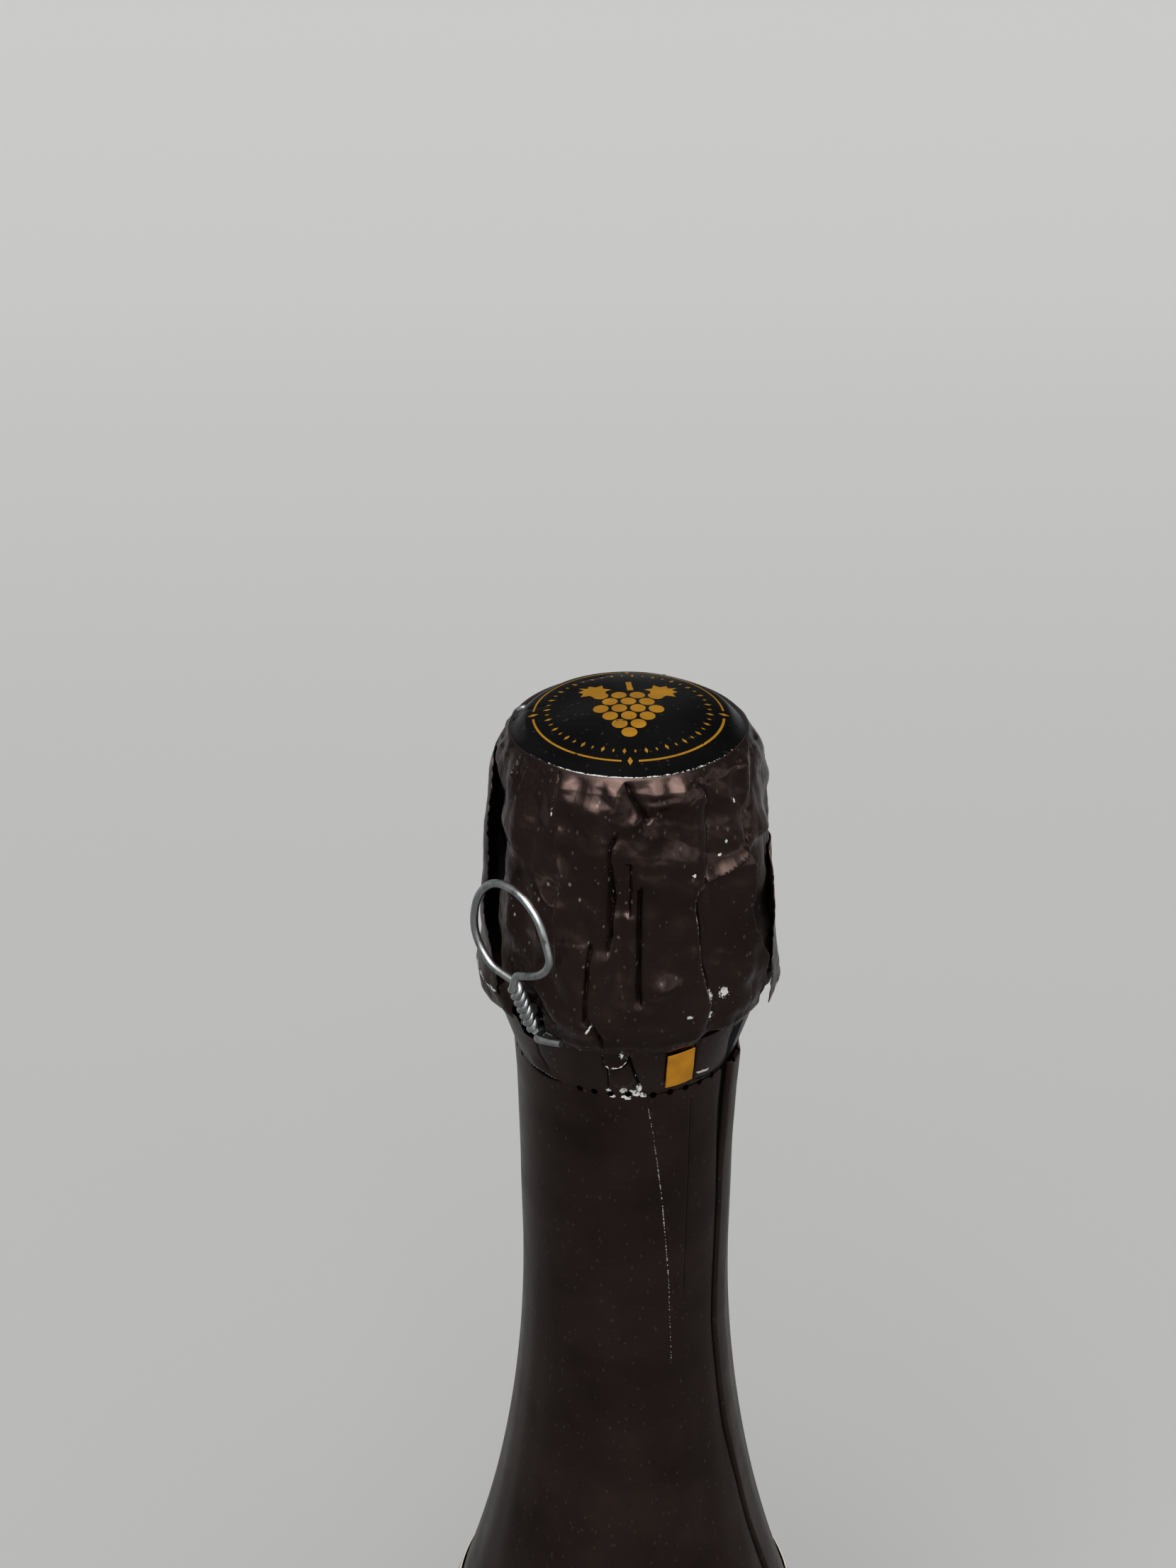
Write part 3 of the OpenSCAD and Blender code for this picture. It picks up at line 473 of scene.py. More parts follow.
# Soft swellings: azimuth, height above the lip, half widths in mm, tilt, height
SWELLS = [
    (13, 18.0, 3.2, 1.3, 4, 0.65), (13, 18.4, 2.0, 0.50, 4, -0.38), (-14, 17.5, 2.4, 1.2, 8, 0.45),
    (-26, 17.8, 2.0, 1.2, -6, 0.35), (2, 16.0, 1.6, 0.9, 40, 0.50), (-4, 18.6, 1.0, 1.0, 0, 0.2),
    (13, -6.3, 1.9, 1.3, 20, 0.80), (8, -8.6, 1.6, 1.0, 30, -0.35), (-8, -5.0, 1.0, 1.8, -20, 0.5),
    (-16, -3.0, 1.0, 2.4, 10, 0.3), (-50, 13.0, 2.6, 4.0, 0, 0.4), (-52, 2.0, 1.4, 6.0, 0, 0.35),
    (43, 3.0, 3.4, 3.4, 0, 0.35), (43, 9.3, 3.0, 1.4, 12, -0.4), (60, 15.0, 1.6, 3.0, 20, 0.4),
    (20, 1.0, 1.6, 5.0, 0, 0.35), (24, 12.0, 1.8, 2.4, 0, 0.3), (12, 12.5, 1.4, 1.6, 30, -0.3),
    (-20, -9.0, 2.0, 3.0, 0, 0.25), (47, -9.0, 3.0, 2.6, 0, 0.4), (-18, 11.0, 1.6, 3.0, 0, 0.3),
    (-23, 3.0, 1.2, 4.0, -15, -0.3), (16, -11.5, 3.0, 1.2, 0, -0.2), (-42, -3.0, 1.6, 4.0, 0, -0.3)]
# Bare spots where the lacquer is gone: azimuth, height above the lip, half widths, tilt
BARE = [
    (33.2, -9.6, 0.42, 1.7, 6), (33.4, -12.2, 0.55, 0.9, 0), (39.3, -9.4, 0.85, 1.25, 30), (23.4, -11.2, 0.7, 0.42, -40),
    (39.5, 9.6, 0.6, 0.3, 10), (48.4, 15.8, 0.3, 0.5, 20), (42.0, 11.3, 0.3, 0.4, 0), (24.7, 8.7, 0.3, 0.5, 15),
    (-33.4, 15.8, 0.2, 0.5, 0), (-15.2, -11.9, 0.22, 1.0, -30), (-3.1, -16.9, 0.45, 0.95, 0)]


def line_distance(line, a, dz):
    """Signed distance in mm from a line on the foil, and the share of its length nearest to the point."""
    p = np.array([(np.radians(x) * ARC_R, y) for x, y in line])
    u, v = np.radians(a) * ARC_R, dz
    lengths = np.linalg.norm(np.diff(p, axis=0), axis=1)
    passed = np.concatenate([[0], np.cumsum(lengths)])
    best = np.full(np.shape(u), 1e9)
    sign = np.ones(np.shape(u))
    share = np.zeros(np.shape(u))
    for i, length in enumerate(lengths):
        du, dv = (p[i + 1] - p[i]) / length
        x, y = u - p[i, 0], v - p[i, 1]
        t = np.clip(x * du + y * dv, 0, length)
        d = np.hypot(x - t * du, y - t * dv)
        near = d < best
        best = np.where(near, d, best)
        sign = np.where(near, np.sign(y * du - x * dv), sign)
        share = np.where(near, (passed[i] + t) / passed[-1], share)
    return best, sign, share


def spot(a, dz, mid, height, half_u, half_v, tilt):
    """A soft round spot, 1 in its middle."""
    u = np.radians(turned(a, mid)) * ARC_R
    v = dz - height
    c, s = math.cos(math.radians(tilt)), math.sin(math.radians(tilt))
    return np.exp(-(((u * c + v * s) / half_u) ** 2) - ((v * c - u * s) / half_v) ** 2)


def crumple(u, v, seed, wave, layers=7):
    """Straight random creases with flat facets between them, between -1 and 1."""
    rng = np.random.default_rng(seed)
    total = 0
    for _ in range(layers):
        w = rng.uniform(0, math.pi)
        size = wave * rng.uniform(0.6, 1.6)
        shift = rng.uniform(0, 2)
        bend = 0.35 * np.sin(u / wave * 0.5 + rng.uniform(0, 6)) + 0.35 * np.sin(v / wave * 0.45 + rng.uniform(0, 6))
        t = (u * math.cos(w) + v * math.sin(w)) / size + shift + bend
        total = total + np.abs(t % 2 - 1) * 2 - 1
    return total / layers


# Gaps under the outer flaps at both sides. Edges are (height above the lip, azimuth).
LEFT_GAP = [(-14, -58), (-8.3, -58), (-2.5, -61.8), (0.5, -61.8), (6.3, -58.3), (8.3, -59.2), (14.1, -67.5), (17.7, -78.6)]
RIGHT_GAP = [(-13.6, 64), (-9.2, 61), (-6.4, 60.2), (-3.2, 54.9), (-1, 53.1), (1.4, 51.9), (3.9, 52.3), (6.3, 53.4), (9.6, 52.4)]
LEFT_EDGE = [(-16, -61), (-11, -60), (-8.5, -63), (-6, -70), (-3, -77), (3, -76.5), (8, -77), (14, -79), (17, -84)]
RIGHT_EDGE = [(-17, 66), (-12, 68), (-8, 71), (-4.6, 72.9), (-1.1, 71.5), (-0.1, 75.6), (1.7, 80), (4, 88)]


def along(line, dz):
    return np.interp(dz, [p[0] for p in line], [p[1] for p in line])


def add_fields(obj, shape, **fields):
    """Fields of a shell: given on its outer points, 0 on the inner ones."""
    total = len(obj.data.vertices)
    for name in ("wear", "dust", "shade"):
        values = np.zeros(total)
        if name in fields:
            given = np.asarray(fields[name]).ravel()
            values[:len(given)] = given
        set_field(obj, name, values)


def hood_shape(a, z):
    """Radius, bare metal, dust and painted shade of the crumpled hood; the shade darkens its creases and the gaps under
    the flaps.
    """
    dz = z - LIP
    r = plain_hood(a, z)
    wear = np.zeros(np.shape(a))
    shade = np.zeros(np.shape(a))
    fade = smooth((RIM_Z - z) / 1.2)
    for name, depth, width, step, black, bare in CREASES:
        d, side, share = line_distance(LINES[name], a, dz)
        ends = smooth(np.minimum(share, 1 - share) / 0.10 + 0.05)
        r = r + ends * fade * (depth * np.exp(-d / width) + step * side * np.exp(-d / 2.0) * np.tanh(d / 0.10))
        # Painted shadow along the crease
        if black:
            thin = black * (0.75 + 0.35 * np.sin(share * 19 + 60 * black))
            shade = np.maximum(shade, smooth(ends * 2) * np.exp(-(d / thin) ** 4))
        if bare:
            beside = np.where(side < 0, np.abs(d - black - 0.08), 9)
            wear = np.maximum(wear, (0.25 + bare) * ends * np.exp(-(beside / 0.10) ** 2))
    for mid, height, half_u, half_v, tilt, out in SWELLS:
        r = r + out * fade * spot(a, dz, mid, height, half_u, half_v, tilt)
    for mid, height, half_u, half_v, tilt in BARE:
        wear = np.maximum(wear, 0.98 * spot(a, dz, mid, height, half_u, half_v, tilt))
    u, v = np.radians(a) * ARC_R, dz
    calm = np.maximum(spot(a, dz, 42, 1.0, 3.2, 4.5, 0), spot(a, dz, 15, 2.0, 1.8, 5.0, 0))
    rough = fade * (1 - 0.8 * calm)
    r = r + rough * (0.75 * crumple(u, v, 3, 6.0) + 0.42 * crumple(u, v, 8, 2.6))
    r = r + rough * 0.42 * crumple(u * 1.6, v * 0.45, 23, 4.0)
    fine = crumple(u * 3.2, v * 0.8, 15, 4.0, 6) * smooth((8 - dz) / 10 + 0.3)
    r = r + 0.12 * rough * fine * (0.35 + np.exp(-(turned(a, -8) / 16) ** 2))
    pleats = np.sin(np.radians(a * 33 + 40 * np.sin(np.radians(a * 5)))) * np.exp(-((dz - 19.6) / 1.6) ** 2)
    r = r + 0.08 * fade * pleats
    # Under the flaps the foil lies closer to the wires, and painted shade darkens the gaps there
    into = smooth((along(LEFT_GAP, dz) - turned(a, 0)) / 2.2) * smooth((turned(a, -102)) / 5)
    inner = smooth((17.5 - dz) / 3) * smooth((dz + 11.5) / 4)
    r = r - 1.45 * into * inner
    shade = np.maximum(shade, 0.96 * into * smooth((-2.5 + along(LEFT_GAP, dz) - turned(a, 0)) / 3) * inner)
    into = smooth((turned(a, 0) - along(RIGHT_GAP, dz)) / 2.0) * smooth((84 - turned(a, 0)) / 5)
    inner = smooth((9.6 - dz) / 2.5) * smooth((dz + 17.5) / 2)
    r = r - 0.95 * into * inner * (0.35 + 0.65 * smooth((dz + 6) / 4))
    deep = smooth((3.5 - dz) / 5)
    shade = np.maximum(shade, into * inner * (0.2 + 0.45 * deep))
    dust = np.maximum(spot(a, dz, -28, 2.0, 5.5, 9.0, 0), spot(a, dz, -48, 2.0, 4.0, 7.0, 0))
    dust = np.maximum(dust, 0.6 * spot(a, dz, -8, 5.0, 3.5, 9.0, 0))
    dust = np.maximum(dust, 0.22)
    return r, wear, dust, shade


# Lower edge of the hood in front as (azimuth, height above the lip), with the pleat's tongue over the strip
HEM_LINE = [(-60, -15.6), (-33, -15.4), (-30, -15.6), (-20.5, -16.1), (-13.2, -16.4), (-11.2, -16.6), (-10.4, -18.6), (-8.2, -19.2),
            (-3.4, -18.9), (-1.2, -18.2), (-0.4, -16.8), (2, -16.45), (16, -16.5), (30, -16.4), (45, -16.2), (60, -15.8)]


def hem_z(a):
    """Lower edge of the hood, torn at the sides and lifted where the wire stem comes through."""
    front = LIP + np.interp(turned(a, 0), [p[0] for p in HEM_LINE], [p[1] for p in HEM_LINE])
    rng = np.random.default_rng(5)
    jag = sum(rng.uniform(0.1, 0.3) * np.sin(np.radians(a * k) + rng.uniform(0, 6)) for k in (11, 23, 37, 61, 90))
    behind = smooth((np.abs(turned(a, 0)) - 50) / 12)
    z = front * (1 - behind) + (TEAR_TOP_Z + 0.4 + 0.35 * jag) * behind
    notch = smooth((9 - np.abs(turned(a, STEM_AZIMUTH - 1))) / 2.5)
    return z + 2.9 * notch


def rim_drop(a, r):
    """How far the edge of the top is pressed down behind and at the sides."""
    return 0.9 * smooth((np.abs(turned(a, 8)) - 48) / 62) * smooth((r - 12.4) / 1.9)


def build_hood():
    cols, rows = 1080, 210
    a = np.linspace(-180, 180, cols, endpoint=False)[None, :]
    t = np.linspace(0, 1, rows)[:, None]
    low = hem_z(a)
    z = low + (RIM_Z - 0.02 - low) * (1 - (1 - t) ** 1.25)
    a = np.broadcast_to(a, z.shape)
    r, wear, dust, shade = hood_shape(a, z)
    # The tongue lies on the strip
    tongue = np.clip(TEAR_TOP_Z + 0.4 - z, 0, 9) * np.exp(-((a + 5.5) / 7) ** 4)
    r = r - 0.20 * tongue + 0.12 * np.minimum(tongue, 1)
    hem = np.exp(-((z - low) / 0.30) ** 2)
    wear = np.maximum(wear, 0.85 * hem * np.exp(-((a + 5.5) / 6.5) ** 6))
    wear = np.maximum(wear, 0.85 * spot(a, z - LIP, -3.1, -17.0, 0.5, 1.1, 0))
    dashes = (np.abs(a + 20.3) < 2.0) | (np.abs(a + 13.7) < 1.9) | (np.abs(a - 35) < 2.2) | (np.abs(a - 41) < 1.5)
    wear = np.maximum(wear, 0.55 * hem * dashes)
    drop = rim_drop(a, DISC_R)
    z = z - drop * smooth((z - LIP - 11) / 9.5)
    outer = at(a, r, z)
    inner = at(a, r - SHEET, z)
    # The foil runs in under the disc's edge
    tuck_r, tuck_z = DISC_R - 0.5, RIM_Z - 0.25 - drop[:1]
    outer = np.concatenate([outer, at(a[:1], tuck_r, tuck_z)])
    inner = np.concatenate([inner, at(a[:1], tuck_r, tuck_z - SHEET)])
    points, faces, tags = shell(outer, inner, True)
    hood = add_piece("foil_hood", points, faces, "capsule", ["capsule_hood"],
                     [FOIL, FOIL_BACK, FOIL], tags, 60)
    add_fields(hood, a.shape, wear=wear, dust=dust, shade=shade)


def build_flap(name, edge, root, low_dz, high_dz, lift, flare, seed):
    """An outer pleat of the hood: from its free front edge back to where it leaves the hood."""
    cols, rows = 70, 130
    rng = np.random.default_rng(seed)
    side = 1 if root > 0 else -1
    t = np.linspace(0, 1, cols)[None, :]
    v = np.linspace(0, 1, rows)[:, None]
    jag = sum(rng.uniform(0.15, 0.5) * np.sin(t * k + rng.uniform(0, 6)) for k in (9, 17, 31, 53, 90))
    low = low_dz + 0.16 * jag + 0.6 * t
    dz = low + (high_dz - low) * v
    start = along(edge, dz)
    serrated = 0.35 * np.sin(dz * 4.6) + 0.35 * np.sin(dz * 2.7 + 1) * (1 - t)
    a = start + serrated * side * (1 - t) + (root - start) * t
    z = dz + LIP
    free = (1 - t) ** 1.4
    r = plain_hood(a, z) + lift * free - 0.22 * smooth((t - 0.75) / 0.25) - 0.3 * smooth((v - 0.9) / 0.1) * (0.4 + t)
    r = r + flare * np.exp(-((dz - low) / 2.2)) * (1 - smooth((t - 0.6) / 0.4))
    r = r + 0.34 * crumple(a / 3.2, dz, seed + 1, 4.0) + 0.14 * crumple(a / 3.2, dz, seed + 2, 1.8)
    outer = at(a, r, z)
    inner = at(a, r - SHEET, z)
    if side > 0:
        points, faces, tags = shell(outer, inner, False)
    else:
        points, faces, tags = shell(outer[:, ::-1], inner[:, ::-1], False)
    hem = np.exp(-((dz - low) / 0.7) ** 2)
    wear = 0.95 * hem * (0.6 + 0.4 * np.sin(t * 23) ** 2) * smooth((0.85 - t) * 4)
    wear = np.maximum(wear, 0.50 * np.exp(-(t / 0.015) ** 2) * np.ones_like(dz))
    if side < 0:
        wear = wear[:, ::-1]
    piece = add_piece(name, points, faces, "capsule", materials=[FOIL, FOIL_BACK, FOIL], tags=tags, sharp=60)
    add_fields(piece, wear.shape, wear=wear, dust=np.full(wear.shape, 0.25))


# The round disc on top, with its print
def disc_z(x, y):
    rr = np.hypot(x, y)
    a = np.degrees(np.arctan2(x, -y))
    z = APEX_Z - 0.05 - DOME_R + np.sqrt(DOME_R**2 - rr**2)
    dent = 0.035 * (crumple(x, y, 12, 7.0, 6) - 1) * smooth(rr / 7)
    dent -= 0.12 * np.exp(-((rr - 13.2) / 1.2) ** 2) * np.exp(-(turned(a, -38) / 22) ** 2)
    dent -= 0.12 * np.exp(-((rr - 13.2) / 1.2) ** 2) * np.exp(-(turned(a, 150) / 14) ** 2)
    dent -= 0.12 * np.exp(-((rr - 13.2) / 1.2) ** 2) * np.exp(-(turned(a, -130) / 12) ** 2)
    across = np.abs((y - 2.2) + 0.10 * (x + 12))
    dent -= 0.12 * np.exp(-across / 0.35) * smooth((-9.2 - x) / 1.5)
    across = np.abs((y - 9.6) - 0.5 * (x + 4))
    dent -= 0.12 * np.exp(-across / 0.3) * np.exp(-((x + 4) / 1.6) ** 2)
    return z + dent - rim_drop(a, rr)


def build_disc():
    cols, rows = 480, 90
    a = np.linspace(-180, 180, cols, endpoint=False)[None, :]
    rr = DISC_R * np.linspace(0.004, 1, rows)[:, None]
    flat = at(np.broadcast_to(a, (rows, cols)), rr, 0)
    x, y = flat[..., 0], flat[..., 1]
    z = disc_z(x, y)
    outer = np.stack([x, y, z], -1)[::-1]
    inner = np.stack([x, y, z - 0.06], -1)[::-1]
    points, faces, tags = shell(outer, inner, True)
    disc = add_piece("foil_disc", points, faces, "capsule", ["capsule_disc"],
                     [DISC_FOIL, FOIL_BACK, DISC_FOIL], tags, 60)
    # A bright line along the cut edge, brightest towards the front
    edge = np.zeros((rows, cols))
    bright = 0.75 * np.exp(-(turned(a[0], -22) / 36) ** 2) + 0.50 * np.exp(-(turned(a[0], 34) / 40) ** 2) + 0.15
    edge[0] = bright
    edge[1] = bright * 0.8
    rim = np.concatenate([edge.ravel(), edge.ravel()])
    set_field(disc, "wear", rim)
    set_field(disc, "dust", np.full(len(rim), 0.15))
    set_field(disc, "shade", np.zeros(len(rim)))


def flat_strip(a0, a1, r0, r1):
    """A ring sector of the print, as points in the disc's plane."""
    n = max(2, int(abs(a1 - a0) / 1.2))
    a = np.linspace(a0, a1, n)[None, :]
    r = np.array([[r1], [(r0 + r1) / 2], [r0]])
    flat = at(np.broadcast_to(a, (3, n)), r, 0)[..., :2].reshape(-1, 2)
    return flat, grid_faces(3, n, False)[:, ::-1].tolist()


def flat_shape(points, mid, turn, size):
    """A polygon of the print with its middle as a fan."""
    p = np.asarray(points, float) * size
    c, s = math.cos(math.radians(turn)), math.sin(math.radians(turn))
    p = np.stack([p[:, 0] * c - p[:, 1] * s, p[:, 0] * s + p[:, 1] * c], 1) + mid
    n = len(p)
    centre = p.mean(axis=0)
    inner = centre + 0.5 * (p - centre)
    points = np.concatenate([p, inner, [centre]])
    faces = []
    for i in range(n):
        k = (i + 1) % n
        faces += [[i, k, n + k, n + i], [n + i, n + k, 2 * n]]
    return points, faces


RING_PRINT_R = 11.6
RING_ARCS = [(-176, -95, 0.24), (-85, -5, 0.26), (5, 85, 0.30), (95, 176, 0.24)]
RING_STARS = [-90, 0, 90, 180]
BEAD_RING_R = 9.9
LEAF = [(0, -1), (0.35, -0.75), (0.75, -0.85), (0.62, -0.35), (1.0, 0.05), (0.55, 0.2), (0.5, 0.65), (0.15, 0.5),
        (0, 1.0), (-0.15, 0.5), (-0.5, 0.65), (-0.55, 0.2), (-1.0, 0.05), (-0.62, -0.35), (-0.75, -0.85), (-0.35, -0.75)]


def build_print():
    circle = [(math.cos(t * math.pi / 12), math.sin(t * math.pi / 12)) for t in range(24)]
    lozenge = [(0, -1), (0.45, 0), (0, 1), (-0.45, 0)]
    parts = [flat_strip(a0, a1, RING_PRINT_R - w / 2, RING_PRINT_R + w / 2) for a0, a1, w in RING_ARCS]
    for a in RING_STARS:
        parts.append(flat_shape(lozenge, at(a, RING_PRINT_R, 0)[:2], a, 0.7))
    for k in range(48):
        a = 7.5 * k + 3.75
        parts.append(flat_shape(lozenge, at(a, BEAD_RING_R, 0)[:2], a, 0.5 if k % 2 else 0.32))
    # A bunch of grapes between two leaves
    grape = 1.02
    for row, count in enumerate((4, 3, 4, 3, 2, 1)):
        for k in range(count):
            mid = ((k - (count - 1) / 2) * 2.2 * grape, 2.6 - row * 1.75 * grape)
            parts.append(flat_shape(circle, mid, 0, grape * 0.93))
    parts.append(flat_shape(LEAF, (-4.4, 4.4), 50, 2.1))
    parts.append(flat_shape(LEAF, (4.4, 4.4), -50, 2.1))
    parts.append(flat_shape([(-0.25, -1), (0.25, -1), (0.35, 1), (-0.1, 1)], (0.1, 5.6), 8, 1.5))
    flat, faces = joined(parts)
    z = disc_z(flat[:, 0], flat[:, 1]) + 0.02
    points = np.column_stack([flat, z])
    up = []
    for f in faces:
        p = flat[f]
        area = sum(p[i][0] * p[(i + 1) % len(f)][1] - p[(i + 1) % len(f)][0] * p[i][1] for i in range(len(f)))
        up.append(f if area > 0 else f[::-1])
    add_piece("disc_print", points, up, "capsule", materials=[GOLD])


# The tear strip and the skirt meet at the lower perforated line
HOLES = [-24.6, -17.0, -8.9, -0.2, 12.1, 20.9, 29.4]
HOLES += [29.4 + (360 - 54.0) / 36 * k for k in range(1, 32)]
HOLE_W = 0.42
HOLE_H = 0.45


def seam_z(a):
    """The lower perforated line, a little lower at the front right."""
    return TEAR_LOW_Z - 0.45 * smooth((turned(a, 3)) / 7) * smooth((75 - turned(a, 0)) / 20)


def hole_height(a):
    """Half height of the hole at that azimuth, 0 between the holes."""
    h = np.zeros(np.shape(a))
    for mid in HOLES:
        u = np.radians(turned(a, mid)) * TEAR_LOW_R / HOLE_W
        h = np.maximum(h, HOLE_H * np.sqrt(np.clip(1 - u * u, 0, 1)))
    return h


def lens(a):
    """The slit that gapes at the left of the lower perforated line."""
    s = np.clip((a + 58) / 24, 0, 1)
    return np.sin(math.pi * s**0.8) ** 0.8 * np.where((a > -58) & (a < -34), 1, 0)


# White torn bits beside the lower perforated line: azimuth, height above the lip, half widths, tilt
TORN = [
    (-9.6, -23.9, 0.40, 0.28, -20), (-2.6, -23.7, 0.50, 0.45, 10), (2.0, -23.8, 0.50, 0.25, 0), (4.8, -23.3, 0.40, 0.65, 0),
    (-8.0, -24.7, 0.50, 0.28, -10), (-1.0, -24.9, 0.70, 0.35, 0), (3.5, -24.4, 0.50, 0.35, 0), (6.8, -24.6, 0.60, 0.30, -30)]


def torn_bits(a, dz):
    wear = np.zeros(np.shape(a))
    for mid, height, half_u, half_v, tilt in TORN:
        wear = np.maximum(wear, 0.82 * smooth(2.2 * spot(a, dz, mid, height, 1.35 * half_u, 1.35 * half_v, tilt) - 0.4))
    return wear


# Lines on the tear strip with depth and half width of their shadow
STRIP_LINES = [
    ([(-11.4, -16.6), (-11.0, -18.9), (-8.4, -19.6), (-3.4, -19.3), (-0.8, -18.6), (0.2, -16.8)], -0.1, 0.16),
    ([(-10.2, -18.4), (-9.6, -20.5), (-9.9, -23.5)], -0.2, 0.10),
    ([(-0.4, -17.0), (0.8, -18.6), (2.6, -20.6), (4.6, -22.4), (5.6, -24.0)], -0.35, 0.26),
    ([(28.2, -15.6), (30.6, -19.0), (33.0, -23.9)], -0.3, 0.10),
    ([(-44.5, -18.6), (-45.0, -20.6), (-41.0, -23.0)], -0.2, 0.10),
    ([(33.4, -23.75), (38, -24.0), (45, -24.25), (51.4, -24.5)], -0.2, 0.17)]


def build_strip():
    cols, rows = 1500, 40
    a = np.linspace(-180, 180, cols, endpoint=False)[None, :]
    low = seam_z(a) + hole_height(a) + 0.5 * lens(a)
    slit = smooth((8.5 - np.abs(turned(a, STEM_AZIMUTH - 1))) / 2.0)
    # The strip runs up a little under the hood, so that no gap shows from the side
    high = TEAR_TOP_Z + 0.9 - 2.5 * slit
    t = np.linspace(0, 1, rows)[:, None]
    z = low + (high - low) * t
    a = np.broadcast_to(a, z.shape)
    slope = (TEAR_TOP_R - TEAR_LOW_R) / (TEAR_TOP_Z - TEAR_LOW_Z)
    r = TEAR_LOW_R + slope * (z - TEAR_LOW_Z)
    u, dz = np.radians(a) * 16, z - LIP
    seam = smooth((z - seam_z(a)) / 0.7)
    r = r + 0.30 * lens(a) * np.exp(-((z - low) / 1.5) ** 2)
    r = r + seam * (0.07 * crumple(u, dz, 21, 5.0) - 0.04)
    # The torn flap below the hood's tongue, and the strip's overlapped end beside the tab
    flap = spot(a, dz, -3, -21.4, 1.9, 1.9, 0)
    r = r + seam * (0.25 * smooth(flap * 3 - 1.0) - 0.25 * spot(a, dz, -3, -17.4, 1.5, 1.1, 0))
    shade = np.zeros(z.shape)
    for line, depth, black in STRIP_LINES:
        d, side, share = line_distance(line, a, dz)
        ends = smooth(np.minimum(share, 1 - share) * 8 + 0.3)
        r = r + depth * np.exp(-d / 0.2) * ends * seam
        shade = np.maximum(shade, ends * np.exp(-(d / black) ** 4))
    r = r + 0.18 * seam * smooth((turned(a, 30.5) + 0.6) / 1.2) * smooth((62 - turned(a, 0)) / 25) * (np.abs(turned(a, 45)) < 40)
    # Painted shadow in the gap in front of the skirt's overlap
    shade = np.maximum(shade, overlap_gap(a, z))
    # Painted shadow on the strip under the left part of the tab
    beside_tab = smooth((TAB_AZIMUTH - 6.8 - a) / -0.8) * smooth((TAB_AZIMUTH - a) / 3) * smooth((dz + 24.0) / 0.5)
    shade = np.maximum(shade, 0.9 * beside_tab * smooth((-15.5 - dz) / 0.4))
    wear = torn_bits(a, dz)
    wear = np.maximum(wear, 1.2 * smooth(3 * spot(a, dz, 37.6, -22.7, 1.5, 0.30, -9) - 0.9))
    wear = np.maximum(wear, 0.6 * np.exp(-((d_flap_edge(a, dz)) / 0.12) ** 2))
    wear = np.maximum(wear, 0.75 * np.exp(-((z - low) / 0.16) ** 2) * (lens(a) > 0.15))
    outer = at(a, r, z)
    inner = at(a, r - SHEET, z)
    points, faces, tags = shell(outer, inner, True)
    strip = add_piece("foil_strip", points, faces, "bottle", ["tear_strip"], [FOIL, FOIL_BACK, FOIL], tags)
    add_fields(strip, z.shape, wear=wear, shade=shade, dust=np.full(z.shape, 0.2))


def d_flap_edge(a, dz):
    line = [(-9.9, -23.8), (-8.7, -19.6), (-3.4, -19.0), (0.8, -19.7), (4.8, -22.0)]
    return line_distance(line, a, dz)[0]


def overlap_gap(a, z):
    """Shadow in front of the skirt's overlapped edge, 0 to 1. It widens below the hood."""
    start = seam_azimuth(z)
    wide = 2.2 + 3.6 * smooth((z - 272) / 12) + 5.0 * smooth((z - 284) / 6)
    wide = wide - 0.9 * smooth((262 - z) / 30)
    off = turned(a, start)
    return smooth(-off / 0.5 + 0.3) * smooth((off + wide) / 0.8)


SEAM_LINE = [(172, 76), (184, 71.9), (192.6, 67.9), (201.8, 65.2), (212.5, 60.1), (223, 58.1), (232, 55.7),
             (243.1, 57.2), (262.3, 57.7), (274.4, 60.1), (283.6, 60.5)]
THIN_SEAM = [(8.2, 275.3), (12.6, 268.8), (18.1, 257.5), (22.9, 243.3), (24.6, 230.8), (23.8, 219.8), (18.9, 203.7)]
FAINT_SEAM = [(32.9, 275.3), (33.2, 263.1), (32.6, 246.8), (32.0, 238.5)]
PHOTO_LIFT = 8.0


def seam_azimuth(z):
    return np.interp(z - PHOTO_LIFT, [p[0] for p in SEAM_LINE], [p[1] for p in SEAM_LINE])


def lifted(line):
    return [(a, z + PHOTO_LIFT - LIP) for a, z in line]


